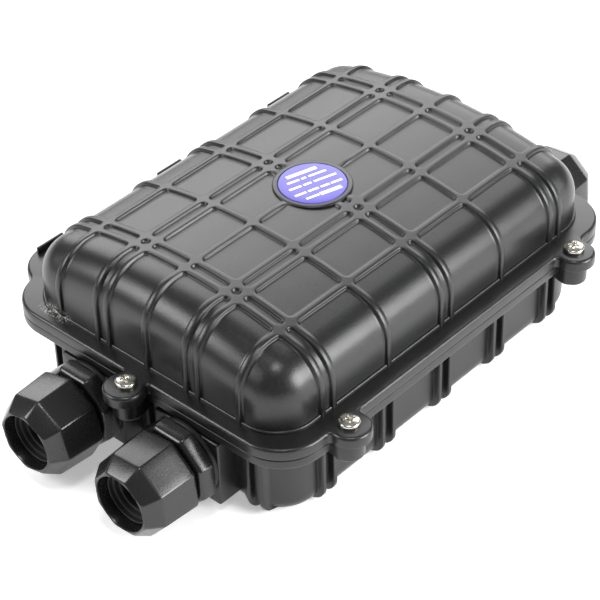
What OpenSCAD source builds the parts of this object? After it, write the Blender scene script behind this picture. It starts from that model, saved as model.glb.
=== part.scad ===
// Fibre splice closure: a flat two-shell box with a bolted lid, four cable glands,
// a ribbed lid dome, and splice trays inside. Millimetres; the origin is the centre
// of the flat underside, +Y runs along the closure, +Z up.

/* [Flanges] */
// How far both flanges stand out from the base's side walls
flange_out_x = 11; // [8:0.5:14]
// How far both flanges stand out from the base's end walls
flange_out_y = 10; // [8:0.5:13]
// Plan corner radius of the flanges
flange_r = 21; // [17:0.5:26]
// Height of the parting plane above the underside
part_z = 42.5; // [38:0.5:50]
// Thickness of the base flange
base_flange_t = 4.5; // [3:0.1:6]
// Thickness of the lid flange
lid_flange_t = 5.5; // [4:0.1:7]
// Rounding of the lid flange's top edge
flange_edge_r = 1.6; // [0.8:0.1:2.5]
// Bevel round the top of an ear or lobe
ear_bevel = 0.8; // [0.4:0.1:1.5]

/* [Lid] */
// How far the lid's side walls stand outside the base's
lid_out_x = 1.8; // [0:0.1:3]
// How far the lid's end walls stand outside the base's
lid_out_y = 2.6; // [0:0.1:4]
// Height of the lid panel over the centre line
lid_top_z = 84.6; // [75:0.1:95]
// Crown radius across the lid
crown_r = 258.6; // [200:1:400]
// Shoulder and corner radius of the lid
shoulder_r = 17.6; // [14:0.1:20]
// Wall thickness of lid and base
wall_t = 3; // [2.4:0.1:4]
// How far a lid rib stands proud
lid_rib_h = 1.4; // [1:0.1:1.6]
// Thickness of a lid rib
lid_rib_t = 2.8; // [2:0.1:3.4]
// Distance from the centre to a lengthwise double rib
rib_x_inner = 25.85; // [22:0.05:30]
// Distance from a side shoulder's start to the single rib beside it
rib_edge_x = 4.2; // [2:0.1:8]
// Pitch of the two ribs of a double
rib_pair = 6.7; // [6:0.1:8]
// Distance from an end shoulder's start to the middle of the double rib beside it
rib_edge_y = 10; // [6:0.5:16]

/* [Base] */
// Half width of the base wall between ribs
base_hw = 72; // [68:0.1:73]
// Half length of the base wall between ribs
base_hl = 100; // [96:0.1:101]
// Plan corner radius of the base wall
base_r = 18; // [16:0.5:20]
// Radius of the base's lower edge
base_edge_r = 8; // [6:0.5:8.5]
// How far a base rib stands proud
base_rib_h = 2.9; // [2:0.1:3]
// Thickness of a base rib
base_rib_t = 2; // [1.6:0.1:2.6]
// Distance of the end walls' outer double ribs from the side walls
base_rib_in = 14.4; // [12:0.1:17]
// Width of the gasket groove
groove_w = 4; // [3:0.1:5]
// Depth of the gasket groove
groove_d = 2.5; // [1.5:0.1:3]
// Distance from the flange edge to the groove's centre line
groove_inset = 7; // [6:0.1:8]

/* [Ears and screws] */
// How far a side screw lies outside the flange's straight edge
screw_out_x = 2.6; // [1:0.1:5]
// How far an end screw lies outside the flange's straight edge
screw_out_y = 5.6; // [3:0.1:8]
// Outer radius of an ear
ear_r = 9; // [8:0.1:10]
// How far a side ear's centre lies outside its screw
ear_shift_x = 0.7; // [0:0.1:1.5]
// How far an end ear's centre lies outside its screw
ear_shift_y = 1.5; // [0:0.1:2]
// Radius of the three lobes on the left side
lobe_r = 18.3; // [16:0.1:20]
// Distance of a lobe's centre inside the flange's straight edge
lobe_in = 5; // [3:0.1:9]
// Thickness of the lip on a lobe
lip_t = 2; // [1.5:0.1:3]
// Height of the lip above the flange
lip_h = 4; // [2:0.1:6]
// Length of the lip
lip_len = 15.4; // [10:0.1:18]
// How far the lip starts before the lobe's middle
lip_start = 4.4; // [0:0.1:8]
// Gap between a lid ear and the base boss under it
boss_gap = 1.2; // [0.6:0.1:2]
// Height of a base screw boss
boss_h = 8.8; // [7:0.1:12]
// Radius of a base screw boss
boss_r = 7.4; // [6.5:0.1:8]
// Floor left under a threaded insert
boss_floor = 1; // [0.6:0.1:2]
// Screw head radius
head_r = 4.6; // [4:0.1:5]
// Screw head height
head_h = 3; // [2.4:0.1:3.4]
// Screw thread radius
screw_r = 2.5; // [2:0.05:3]
// Height of the flat dome on a screw head
head_dome = 0.9; // [0.5:0.1:1.4]
// Draft of a screw head's side
head_draft = 0.5; // [0:0.1:1]
// How far a screw head's flat top lies inside its edge
head_flat = 1.9; // [1:0.1:2.6]
// Length of each arm pair of the cross recess
recess_l = 4.8; // [3:0.1:6]
// Width of the cross recess
recess_w = 1; // [0.6:0.1:1.6]
// Depth of the cross recess
recess_d = 1.8; // [1:0.1:2.2]
// Screw length under the head
screw_len = 14; // [11:0.5:15]
// Wall of a threaded insert
insert_wall = 1.3; // [1:0.1:2]

/* [Glands] */
// Distance of a gland axis from the centre, across X
gland_x = 28; // [26:0.5:30]
// Height of the gland axes
gland_z = 21.7; // [21:0.1:22]
// Thread radius of a gland
gland_r = 12.5; // [11:0.1:12.6]
// Width of the flat pad behind a gland
pad_w = 36; // [30:0.5:37]
// How far a pad stands outside the flange's edge
pad_out = 0.5; // [0:0.1:2]
// Bevel along the top of a pad
pad_bevel = 2.5; // [1:0.1:4]
// Sealing washer thickness
washer_t = 2; // [1:0.1:3]
// How far the washer lies inside the collar's corners
washer_in = 2.5; // [1.5:0.1:4]
// Across corners, the collar and the back of the cap nut
cap_d = 41; // [38:0.1:42]
// Across corners, the front of the cap nut
cap_front_d = 39; // [36:0.1:41]
// Across corners, the end of the cap nut's nose
nose_d = 29.4; // [28:0.1:34]
// Length of the gland collar
collar_l = 9; // [6:0.1:10]
// Rounding of the collar's corners beside the washer
collar_in_near = 0.2; // [0.1:0.1:1]
// Rounding of the collar's corners beside the cap nut
collar_in_far = 0.9; // [0.2:0.1:2]
// How far the neck before the cap nut's thread lies inside that thread
neck_in = 1.4; // [0.8:0.1:2]
// Length of the neck inside the cap nut
neck_l = 1.5; // [1:0.1:3]
// Gap between collar and cap nut
cap_gap = 1.5; // [0.8:0.1:3]
// Length of the cap nut's straight part
cap_l = 19.5; // [15:0.1:24]
// Length of the cap nut's nose
nose_l = 7; // [4:0.1:9]
// Radius of the opening in the nose
nose_hole_r = 12.9; // [11:0.1:13.5]
// Radius of the thread the cap nut runs on
cap_thread_r = 16.5; // [15.5:0.1:17]
// How far that thread ends short of the cap nut's straight part
thread_short = 3; // [2:0.1:5]
// Room in the cap nut past the end of the thread
cap_run_out = 1.5; // [1:0.1:3]
// Bevel at the back of the cap nut, inwards
cap_bevel = 1.1; // [0.5:0.1:2]
// Bevel at the back of the cap nut, along it
cap_bevel_l = 1.4; // [0.5:0.1:3]
// Wall of the gland body behind its lock nut thread
gland_wall = 2.6; // [2:0.1:4]
// Wall of the gland body round the seal
seal_wall = 3.5; // [2.5:0.1:4.5]
// How deep in the cap nut the seal starts
seal_deep = 3; // [2:0.1:6]
// Length of the seal's wide part outside the gland body
seal_lip = 1; // [0.5:0.1:2]
// Gap between the seal's mouth and the cap nut's opening
seal_gap = 0.6; // [0.2:0.1:1.5]
// Width of each ring step in the seal's mouth
seal_step = 1.2; // [0.6:0.1:1.4]
// Radius of the cable opening in the seal
cable_r = 9; // [6:0.1:9.5]
// Across flats, the lock nut inside the wall
lock_af = 31; // [28:0.5:33]
// Thickness of the lock nut
lock_t = 5; // [4:0.5:7]
// Length of gland thread past the lock nut
thread_tail = 3; // [1:0.5:5]
// Turn of the left cap nuts' corners
turn_left = 8; // [0:1:44]
// Turn of the right cap nuts' corners
turn_right = 18; // [0:1:44]

/* [Splice trays] */
// Room between the trays and the lid's side walls
tray_gap_x = 12.8; // [8:0.1:18]
// Room between the trays and the lid's end walls
tray_gap_y = 20.6; // [16:0.1:28]
// Plan corner radius of the trays
tray_r = 14; // [8:0.5:18]
// Tray height
tray_h = 10; // [8:0.5:12]
// Tray wall and floor thickness
tray_t = 1.6; // [1.2:0.1:2.4]
// Height of the lower tray's underside above the parting plane
tray_lift = 0.5; // [0:0.1:3]
// Distance of the tray posts from the trays' long sides
post_in_x = 8; // [6:0.5:10]
// Distance of the tray posts from the trays' ends
post_in_y = 19; // [16:0.5:26]
// Across flats, the tray posts
post_af = 8; // [7:0.5:10]
// Radius of the base bosses under the tray posts
post_boss_r = 6; // [5:0.1:7]
// Height of those bosses above the floor
post_boss_h = 7; // [4:0.5:12]
// Distance of a tray's cable entries from its long sides
entry_in = 26; // [22:0.5:32]
// Width of a tray's cable entries
entry_w = 14; // [8:0.5:18]
// Radius of the fibre guides in a tray
spool_r = 24; // [20:0.5:30]
// Distance of a fibre guide's middle from the tray's end
spool_in = 37; // [33:0.5:41]
// How far a fibre guide ends below the tray's rim
spool_drop = 0.6; // [0:0.1:3]
// Length of a splice holder
holder_l = 28; // [22:1:32]
// Width of a splice holder
holder_w = 30; // [24:1:36]
// Height of a splice holder
holder_h = 6.4; // [4:0.1:8]
// Pitch of the slots in a splice holder
slot_pitch = 4.5; // [4:0.1:6]
// Width of a slot
slot_w = 3; // [2:0.1:3.6]
// Floor under the slots
slot_floor = 1.2; // [0.8:0.1:2]
// Width of the gap across the middle of a splice holder
holder_gap_w = 10; // [6:0.5:14]
// Floor under that gap
holder_gap_z = 3; // [1.5:0.1:4]

/* [Cable clamps] */
// Distance of a clamp's middle from the end wall's outside
clamp_in = 22; // [20:0.5:30]
// Length of a clamp along the cable
clamp_l = 12; // [8:0.5:16]
// Width of a clamp
clamp_w = 38; // [34:0.5:42]
// Thickness of the clamp strap
strap_t = 4; // [3:0.1:6]
// Wall of the clamp strap beside the cable
strap_side = 2.8; // [2:0.1:2.9]
// Half the gap between the clamp's two halves
clamp_split = 1; // [0.5:0.1:2]
// Distance of a clamp screw from the clamp's end
clamp_screw_in = 4; // [3.5:0.1:6]
// Depth of a clamp screw hole's floor above the closure's floor
clamp_hole_z = 4; // [1:0.5:8]

/* [Label] */
// Diameter of the round label
label_d = 30; // [24:0.5:31]
// Outer diameter of the ring round the label
label_ring_d = 35; // [33:0.5:37]
// Label thickness
label_t = 0.6; // [0.4:0.1:1]
// Height of the label's seat above the lid panel
label_lift = 0.4; // [0.2:0.1:1]

/* [Small screws] */
// Thread radius of the tray and clamp screws
small_r = 1.5; // [1.25:0.25:2]
// Length of a small screw in its thread
small_grip = 8; // [5:0.5:10]
// Head radius of a small screw
small_head_r = 2.8; // [2.4:0.1:3]
// Top radius of a small screw's head
small_top_r = 2.2; // [1.6:0.1:2.4]
// Head height of a small screw
small_head_h = 2; // [1.4:0.1:2.4]
// Length of a small screw's slot
small_slot_l = 4; // [3:0.1:5]
// Width of a small screw's slot
small_slot_w = 0.8; // [0.5:0.1:1.2]
// Depth of a small screw's slot
small_slot_d = 0.9; // [0.5:0.1:1.4]

/* [Fits] */
// Radial running clearance of threads that turn or pull out
run = 0.05; // [0.02:0.01:0.1]
// Clearance of parts that are only laid in
lay = 0.3; // [0.1:0.05:0.6]
// Radial clearance of the glands in their wall and washer
gland_fit = 0.1; // [0.05:0.05:0.4]

/* [Output] */
// Which piece to draw

/* [Hidden] */
$fn = 96;
fuse = 0.4;
cut = 1;
rib_low = 0.6;
crease = 0.15;
ring_depth = 34;
mirror_y = [1, -1];
mirror_x = [1, -1];
rib_rows = [-2, -1, 0, 1, 2];
single_rows = [-1, 1];
double_rows = [-2, 0, 2];
flange_hw = base_hw + flange_out_x;
flange_hl = base_hl + flange_out_y;
flange_top_z = part_z + lid_flange_t;
flange_low_z = part_z - base_flange_t;
lid_hw = base_hw + lid_out_x;
lid_hl = base_hl + lid_out_y;
core_x = lid_hw - shoulder_r;
core_y = lid_hl - shoulder_r;
crown_core_r = crown_r - shoulder_r;
crown_z = lid_top_z - crown_r;
core_z = crown_z + sqrt(crown_core_r * crown_core_r - core_x * core_x);
ring_low_r = crown_core_r - ring_depth;
rib_x_outer = core_x - rib_edge_x;
rib_y_pitch = (core_y - rib_edge_y) / 2;
base_rib_x = base_hw - base_rib_in;
screw_x = flange_hw + screw_out_x;
screw_y = 2 * rib_y_pitch;
screw_end_y = flange_hl + screw_out_y;
lobe_x = flange_hw - lobe_in;
boss_top_z = part_z - boss_gap;
boss_low_z = boss_top_z - boss_h;
insert_r = screw_r + insert_wall;
pad_y = flange_hl + pad_out;
collar_y = pad_y + washer_t;
cap_y = collar_y + collar_l + cap_gap;
cap_end_y = cap_y + cap_l;
nose_y = cap_end_y + nose_l;
thread_end_y = cap_end_y - thread_short;
seal_r = cap_thread_r - seal_wall;
seal_y = cap_y + seal_deep;
gland_bore_r = gland_r - gland_wall;
inner_y = base_hl - wall_t;
lock_y = inner_y - lock_t;
thread_in_y = lock_y - thread_tail;
tray_hw = lid_hw - wall_t - tray_gap_x;
tray_hl = lid_hl - wall_t - tray_gap_y;
tray_z = part_z + tray_lift;
tray_deck_z = tray_z + tray_h;
cover_z = tray_z + 2 * tray_h;
post_x = tray_hw - post_in_x;
post_y = tray_hl - post_in_y;
post_low_z = wall_t + post_boss_h;
spool_y = tray_hl - spool_in;
clamp_y = base_hl - clamp_in;
clamp_screw_x = clamp_w / 2 - clamp_screw_in;
clamp_seat_z = gland_z + clamp_split + strap_t;
clamp_top_z = clamp_seat_z + cable_r;
label_z = lid_top_z + label_lift;
label_top_z = label_z + label_t;

// Rounded rectangle from exact arcs, centred
module plan(hw, hl, r) {
    square([2 * (hw - r), 2 * hl], center = true);
    square([2 * hw, 2 * (hl - r)], center = true);
    for (sx = mirror_x) {
        for (sy = mirror_y) {
            translate([sx * (hw - r), sy * (hl - r)])
                circle(r = r);
        }
    }
}

// Upright slab with a rounded plan
module slab(hw, hl, r, low, high) {
    translate([0, 0, low])
        linear_extrude(height = high - low)
            plan(hw, hl, r);
}

// Half section of a block whose top edge has radius er: width w, height h
module edge_section(w, h, er) {
    square([w - er, h]);
    square([w, h - er]);
    intersection() {
        translate([w - er, h - er])
            circle(r = er);
        square([w, h]);
    }
}

// Same section, mirrored to both sides
module edge_section_full(w, h, er) {
    edge_section(w, h, er);
    mirror([1, 0])
        edge_section(w, h, er);
}

// Block standing on z = 0 with rounded plan corners (r) and a rounded top edge (er)
module rounded_block(hw, hl, h, r, er) {
    for (sx = mirror_x) {
        for (sy = mirror_y) {
            translate([sx * (hw - r), sy * (hl - r), 0])
                rotate_extrude()
                    edge_section(r, h, er);
        }
    }
    translate([0, hl - r, 0])
        rotate([90, 0, 0])
            linear_extrude(height = 2 * (hl - r))
                edge_section_full(hw, h, er);
    translate([-(hw - r), 0, 0])
        rotate([90, 0, 90])
            linear_extrude(height = 2 * (hw - r))
                edge_section_full(hl, h, er);
}

// Section of the crowned ring: radius outwards, length to both sides
module ring_section(out) {
    translate([ring_low_r, -(core_y + shoulder_r + out)])
        square([crown_core_r - ring_low_r, 2 * (core_y + shoulder_r + out)]);
    translate([ring_low_r, -core_y])
        square([crown_core_r + shoulder_r + out - ring_low_r, 2 * core_y]);
    for (sy = mirror_y) {
        translate([crown_core_r, sy * core_y])
            circle(r = shoulder_r + out);
    }
}

// Cross-section that gives the lid its side shoulders, moved outwards by `out`
module shoulder_section(out) {
    for (sx = mirror_x) {
        translate([sx * core_x, core_z + crease])
            circle(r = shoulder_r + out);
    }
    translate([-(core_x + shoulder_r + out), 0])
        square([2 * (core_x + shoulder_r + out), core_z + crease]);
    translate([-(core_x + shoulder_r / 4), 0])
        square([2 * (core_x + shoulder_r / 4), lid_top_z + shoulder_r]);
}

// Crowned dome with rounded shoulders and corners, moved outwards by `out`, standing on z = low
module dome(out, low) {
    intersection() {
        translate([0, flange_hl, 0])
            rotate([90, 0, 0])
                linear_extrude(height = 2 * flange_hl)
                    shoulder_section(out);
        translate([0, 0, crown_z])
            rotate([90, 0, 0])
                rotate_extrude()
                    ring_section(out);
        slab(lid_hw + out, lid_hl + out, shoulder_r + out, low, lid_top_z + shoulder_r);
    }
}

// Upright sheet across the lid at x
module sheet_x(x, t, low, high) {
    translate([x - t / 2, -flange_hl, low])
        cube([t, 2 * flange_hl, high - low]);
}

// Upright sheet along the lid at y
module sheet_y(y, t, low, high) {
    translate([-flange_hw, y - t / 2, low])
        cube([2 * flange_hw, t, high - low]);
}

// Grid of sheets the lid ribs are cut from
module lid_rib_sheets() {
    sheet_x(0, lid_rib_t, flange_top_z - fuse, lid_top_z + shoulder_r);
    for (sx = mirror_x) {
        sheet_x(sx * rib_x_outer, lid_rib_t, flange_top_z - fuse, lid_top_z + shoulder_r);
        for (s = mirror_y) {
            sheet_x(sx * rib_x_inner + s * rib_pair / 2, lid_rib_t, flange_top_z - fuse,
                lid_top_z + shoulder_r);
        }
    }
    for (row = single_rows) {
        sheet_y(row * rib_y_pitch, lid_rib_t, flange_top_z - fuse, lid_top_z + shoulder_r);
    }
    for (row = double_rows) {
        for (s = mirror_y) {
            sheet_y(row * rib_y_pitch + s * rib_pair / 2, lid_rib_t, flange_top_z - fuse,
                lid_top_z + shoulder_r);
        }
    }
}

// Ear of the lid: a disc and a bridge to the flange
module lid_ear(x, y, shift_x, shift_y, r) {
    translate([x + shift_x, y + shift_y, part_z]) {
        cylinder(r = r, h = lid_flange_t - ear_bevel);
        translate([0, 0, lid_flange_t - ear_bevel])
            cylinder(r1 = r, r2 = r - ear_bevel, h = ear_bevel);
    }
}

// Places children at the six lid screws
module at_screws() {
    for (sx = mirror_x) {
        for (sy = mirror_y) {
            translate([sx * screw_x, sy * screw_y, 0])
                children();
        }
    }
    for (sy = mirror_y) {
        translate([0, sy * screw_end_y, 0])
            children();
    }
}

// Hard-wearing lid: crowned dome, ribs over it, flange, ears and the lobes on the left
module lid_shell() {
    color([0.09, 0.09, 0.1])
    difference() {
        union() {
            dome(0, part_z + fuse);
            intersection() {
                dome(lid_rib_h, part_z + fuse);
                lid_rib_sheets();
            }
            translate([0, 0, part_z])
                rounded_block(flange_hw, flange_hl, lid_flange_t, flange_r, flange_edge_r);
            for (sy = mirror_y) {
                lid_ear(screw_x, sy * screw_y, ear_shift_x, 0, ear_r);
                lid_ear(0, sy * screw_end_y, 0, sy * ear_shift_y, ear_r);
            }
            for (row = double_rows) {
                lid_ear(-lobe_x, row * rib_y_pitch, 0, 0, lobe_r);
                translate([-lobe_x - lobe_r + lip_t, row * rib_y_pitch - lip_start, flange_top_z])
                    lobe_lip();
            }
            translate([0, 0, lid_top_z - cut])
                cylinder(d = label_ring_d, h = label_top_z - lid_top_z + cut);
        }
        dome(-wall_t, part_z - fuse);
        translate([0, 0, label_z])
            cylinder(d = label_d + lay, h = lid_rib_h + label_t + cut);
        at_screws()
            translate([0, 0, part_z - fuse])
                cylinder(r = screw_r + lay, h = lid_flange_t + 2 * fuse);
    }
}

// Thin upright lip at the rim of a left lobe
module lobe_lip() {
    translate([0, 0, -fuse])
        cube([lip_t, lip_len, lip_h + fuse]);
}

// Round label pressed into the ring on the lid
module label_disc() {
    color([0.3, 0.3, 0.75])
    translate([0, 0, label_z])
        cylinder(d = label_d, h = label_t);
}

// Pan-head screws that hold the lid down
module lid_screws() {
    color([0.86, 0.86, 0.82])
    at_screws() {
        difference() {
            union() {
                translate([0, 0, flange_top_z])
                    cylinder(r1 = head_r, r2 = head_r - head_draft, h = head_h - head_dome);
                translate([0, 0, flange_top_z + head_h - head_dome])
                    cylinder(r1 = head_r - head_draft, r2 = head_r - head_flat, h = head_dome);
                translate([0, 0, flange_top_z - screw_len])
                    cylinder(r = screw_r, h = screw_len + fuse);
            }
            for (turn = [0, 90]) {
                rotate([0, 0, turn])
                    translate([-recess_l / 2, -recess_w / 2, flange_top_z + head_h - recess_d])
                        cube([recess_l, recess_w, recess_d + cut]);
            }
        }
    }
}

// Brass bushes the screws run into
module screw_inserts() {
    color([0.72, 0.56, 0.25])
    at_screws()
        translate([0, 0, boss_low_z + boss_floor])
            difference() {
                cylinder(r = insert_r, h = boss_h - boss_floor);
                translate([0, 0, -cut])
                    cylinder(r = screw_r + run, h = boss_h + cut);
            }
}

// Boss under a lid ear, joined to the wall by a web
module screw_boss(dir_x, dir_y, reach) {
    translate([0, 0, boss_low_z])
        cylinder(r = boss_r, h = boss_h);
    translate([0, 0, boss_low_z]) {
        if (dir_x != 0)
            translate([-dir_x * reach / 2, 0, boss_h / 2])
                cube([reach, 2 * boss_r, boss_h], center = true);
        if (dir_y != 0)
            translate([0, -dir_y * reach / 2, boss_h / 2])
                cube([2 * boss_r, reach, boss_h], center = true);
    }
}

// Base walls: open tub with a rounded lower edge, moved outwards by `out`
module tub(out, low) {
    translate([0, 0, part_z])
        mirror([0, 0, 1])
            rounded_block(base_hw + out, base_hl + out, part_z - low, base_r + out, base_edge_r);
}

// Sheets the base ribs are cut from
module base_rib_sheets() {
    for (row = rib_rows) {
        for (s = mirror_y) {
            sheet_y(row * rib_y_pitch + s * rib_pair / 2, base_rib_t, 0, flange_low_z + fuse);
        }
    }
    for (s = mirror_y) {
        sheet_x(s * rib_pair / 2, base_rib_t, 0, flange_low_z + fuse);
        for (sx = mirror_x) {
            sheet_x(sx * base_rib_x + s * rib_pair / 2, base_rib_t, 0, flange_low_z + fuse);
        }
    }
}

// Flat pad a gland is screwed against
module gland_pad() {
    rise_z = flange_low_z - pad_bevel - fuse;
    translate([-pad_w / 2, -pad_y, gland_z - pad_w / 2])
        cube([pad_w, pad_y - inner_y + fuse, rise_z + fuse - gland_z + pad_w / 2]);
    translate([-pad_w / 2, 0, rise_z])
        rotate([90, 0, 90])
            linear_extrude(height = pad_w)
                polygon([
                    [-pad_y, 0],
                    [-inner_y, 0],
                    [-inner_y, pad_bevel + 2 * fuse],
                    [-pad_y + pad_bevel, pad_bevel + 2 * fuse],
                    [-pad_y, fuse]
                ]);
}

// Places children at the four glands, as seen from a gland in the front wall
module at_glands() {
    for (sx = mirror_x) {
        for (turn = [0, 180]) {
            rotate([0, 0, turn])
                translate([sx * gland_x, 0, 0])
                    children();
        }
    }
}

// Ribbed base tub with its flange, gland pads, screw bosses and tray bosses
module base_shell() {
    color([0.09, 0.09, 0.1])
    difference() {
        union() {
            tub(0, 0);
            intersection() {
                tub(base_rib_h, rib_low);
                base_rib_sheets();
            }
            slab(flange_hw, flange_hl, flange_r, flange_low_z, part_z);
            at_glands()
                gland_pad();
            for (sx = mirror_x) {
                for (sy = mirror_y) {
                    translate([sx * screw_x, sy * screw_y, 0])
                        screw_boss(sx, 0, screw_x - base_hw + fuse);
                }
            }
            for (sy = mirror_y) {
                translate([0, sy * screw_end_y, 0])
                    screw_boss(0, sy, screw_end_y - base_hl + fuse);
            }
        }
        difference() {
            slab(base_hw - wall_t, inner_y, base_r - wall_t, wall_t, part_z + cut);
            for (sx = mirror_x) {
                for (sy = mirror_y) {
                    translate([sx * post_x, sy * post_y, 0])
                        cylinder(r = post_boss_r, h = post_low_z);
                }
            }
        }
        difference() {
            slab(flange_hw - groove_inset + groove_w / 2, flange_hl - groove_inset + groove_w / 2,
                flange_r - groove_inset + groove_w / 2, part_z - groove_d, part_z + cut);
            slab(flange_hw - groove_inset - groove_w / 2, flange_hl - groove_inset - groove_w / 2,
                flange_r - groove_inset - groove_w / 2, part_z - groove_d - cut, part_z + 2 * cut);
        }
        at_glands()
            translate([0, -lock_y, gland_z])
                rotate([90, 0, 0])
                    cylinder(r = gland_r + gland_fit, h = pad_y);
        at_screws()
            translate([0, 0, boss_low_z + boss_floor])
                cylinder(r = insert_r, h = part_z);
    }
}

// Sealing ring laid in the base's groove
module lid_gasket() {
    color([0.2, 0.2, 0.21])
    difference() {
        slab(flange_hw - groove_inset + groove_w / 2, flange_hl - groove_inset + groove_w / 2,
            flange_r - groove_inset + groove_w / 2, part_z - groove_d, part_z);
        slab(flange_hw - groove_inset - groove_w / 2, flange_hl - groove_inset - groove_w / 2,
            flange_r - groove_inset - groove_w / 2, part_z - groove_d - cut, part_z + cut);
    }
}

// Moves a gland piece, drawn along +Z outwards, to its place in an end wall
module gland_place(sx, sy) {
    translate([sx * gland_x, 0, gland_z])
        rotate([sy > 0 ? -90 : 90, 0, 0])
            children();
}

// Flat rubber washer behind a gland
module gland_washer(sx, sy) {
    color([0.12, 0.12, 0.12])
    gland_place(sx, sy)
        translate([0, 0, pad_y])
            difference() {
                cylinder(r = cap_d / 2 - washer_in, h = washer_t);
                translate([0, 0, -cut])
                    cylinder(r = gland_r + gland_fit, h = washer_t + 2 * cut);
            }
}

// Gland body: inner thread, eight-sided collar, outer thread for the cap nut
module gland_body(sx, sy) {
    color([0.13, 0.13, 0.14])
    gland_place(sx, sy)
        difference() {
            union() {
                translate([0, 0, thread_in_y])
                    cylinder(r = gland_r, h = collar_y - thread_in_y + fuse);
                translate([0, 0, collar_y])
                    intersection() {
                        rotate([0, 0, 22.5])
                            cylinder(r = cap_d / 2, h = collar_l, $fn = 8);
                        cylinder(r1 = cap_d / 2 - collar_in_near, r2 = cap_d / 2 - collar_in_far, h = collar_l);
                    }
                translate([0, 0, collar_y + collar_l - fuse])
                    cylinder(r = cap_thread_r - neck_in, h = cap_gap + neck_l + fuse);
                translate([0, 0, cap_y + neck_l])
                    cylinder(r = cap_thread_r, h = thread_end_y - cap_y - neck_l);
            }
            translate([0, 0, thread_in_y - cut])
                cylinder(r = gland_bore_r, h = thread_end_y);
            translate([0, 0, seal_y])
                cylinder(r = seal_r, h = nose_y - seal_y);
        }
}

// Rubber seal with a stepped mouth
module gland_seal(sx, sy) {
    color([0.06, 0.06, 0.06])
    gland_place(sx, sy)
        difference() {
            union() {
                translate([0, 0, seal_y])
                    cylinder(r = seal_r, h = thread_end_y - seal_y + seal_lip);
                translate([0, 0, thread_end_y + seal_lip])
                    cylinder(r = nose_hole_r - seal_gap, h = thread_short + seal_lip);
            }
            translate([0, 0, seal_y - cut])
                cylinder(r = cable_r, h = nose_y);
            translate([0, 0, thread_end_y + seal_lip])
                cylinder(r = cable_r + seal_step, h = nose_l);
            translate([0, 0, cap_end_y])
                cylinder(r = cable_r + 2 * seal_step, h = nose_l);
        }
}

// Cap nut: eight-sided grip, faceted nose, threaded inside
module gland_cap_nut(sx, sy, turn) {
    color([0.13, 0.13, 0.14])
    gland_place(sx, sy)
        difference() {
            intersection() {
                rotate([0, 0, 90 - turn])
                    union() {
                        translate([0, 0, cap_y])
                            cylinder(r1 = cap_d / 2, r2 = cap_front_d / 2, h = cap_l, $fn = 8);
                        translate([0, 0, cap_end_y])
                            cylinder(r1 = cap_front_d / 2, r2 = nose_d / 2, h = nose_l, $fn = 8);
                    }
                union() {
                    translate([0, 0, cap_y])
                        cylinder(r1 = cap_d / 2 - cap_bevel, r2 = cap_d / 2, h = cap_bevel_l);
                    translate([0, 0, cap_y + cap_bevel_l])
                        cylinder(r = cap_d / 2, h = cap_l + nose_l);
                }
            }
            translate([0, 0, cap_y - cut])
                cylinder(r = cap_thread_r + run, h = thread_end_y + cap_run_out - cap_y + cut);
            translate([0, 0, cap_y])
                cylinder(r = nose_hole_r, h = cap_l + nose_l + cut);
        }
}

// Hexagonal nut inside the wall
module gland_lock_nut(sx, sy) {
    color([0.15, 0.15, 0.16])
    gland_place(sx, sy)
        translate([0, 0, lock_y])
            difference() {
                intersection() {
                    cylinder(r = lock_af / sqrt(3), h = lock_t, $fn = 6);
                    cylinder(r1 = lock_af / 2 + fuse, r2 = lock_af / 2 + lock_t, h = lock_t);
                }
                translate([0, 0, -cut])
                    cylinder(r = gland_r, h = lock_t + 2 * cut);
            }
}

// Hexagonal posts that carry the trays
module tray_posts() {
    color([0.72, 0.56, 0.25])
    for (sx = mirror_x) {
        for (sy = mirror_y) {
            translate([sx * post_x, sy * post_y, post_low_z])
                difference() {
                    cylinder(r = post_af / sqrt(3), h = tray_z - post_low_z, $fn = 6);
                    translate([0, 0, tray_z - post_low_z - small_grip - cut])
                        cylinder(r = small_r, h = small_grip + 2 * cut);
                }
        }
    }
}

// One splice tray: floor, wall, corner tubes, two fibre guides and a seat for the holder
module splice_tray(z) {
    color([0.9, 0.9, 0.86])
    difference() {
        union() {
            difference() {
                slab(tray_hw, tray_hl, tray_r, z, z + tray_h);
                slab(tray_hw - tray_t, tray_hl - tray_t, tray_r - tray_t, z + tray_t, z + tray_h + cut);
            }
            for (sx = mirror_x) {
                for (sy = mirror_y) {
                    translate([sx * post_x, sy * post_y, z])
                        cylinder(r = post_af / 2, h = tray_h);
                }
            }
            for (sy = mirror_y) {
                translate([0, sy * spool_y, z + tray_t - fuse])
                    difference() {
                        cylinder(r = spool_r, h = tray_h - tray_t - spool_drop);
                        translate([0, 0, -cut])
                            cylinder(r = spool_r - tray_t, h = tray_h + cut);
                    }
            }
        }
        for (sx = mirror_x) {
            for (sy = mirror_y) {
                translate([sx * post_x, sy * post_y, z - cut])
                    cylinder(r = small_r + lay, h = tray_h + 2 * cut);
                translate([sx * (tray_hw - entry_in), sy * tray_hl, z + tray_h / 2 + tray_t])
                    cube([entry_w, 3 * tray_t, tray_h], center = true);
            }
        }
    }
}

// Comb that holds the splice sleeves
module splice_holder(z) {
    slots = floor((holder_w - slot_pitch) / slot_pitch);
    color([0.16, 0.2, 0.3])
    translate([0, 0, z + tray_t])
        difference() {
            translate([-holder_w / 2, -holder_l / 2, 0])
                cube([holder_w, holder_l, holder_h]);
            for (i = [0 : slots - 1]) {
                translate([(i - (slots - 1) / 2) * slot_pitch - slot_w / 2, -holder_l, slot_floor])
                    cube([slot_w, holder_l * 2, holder_h]);
            }
            translate([-holder_w, -holder_gap_w / 2, holder_gap_z])
                cube([holder_w * 2, holder_gap_w, holder_h]);
        }
}

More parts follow.
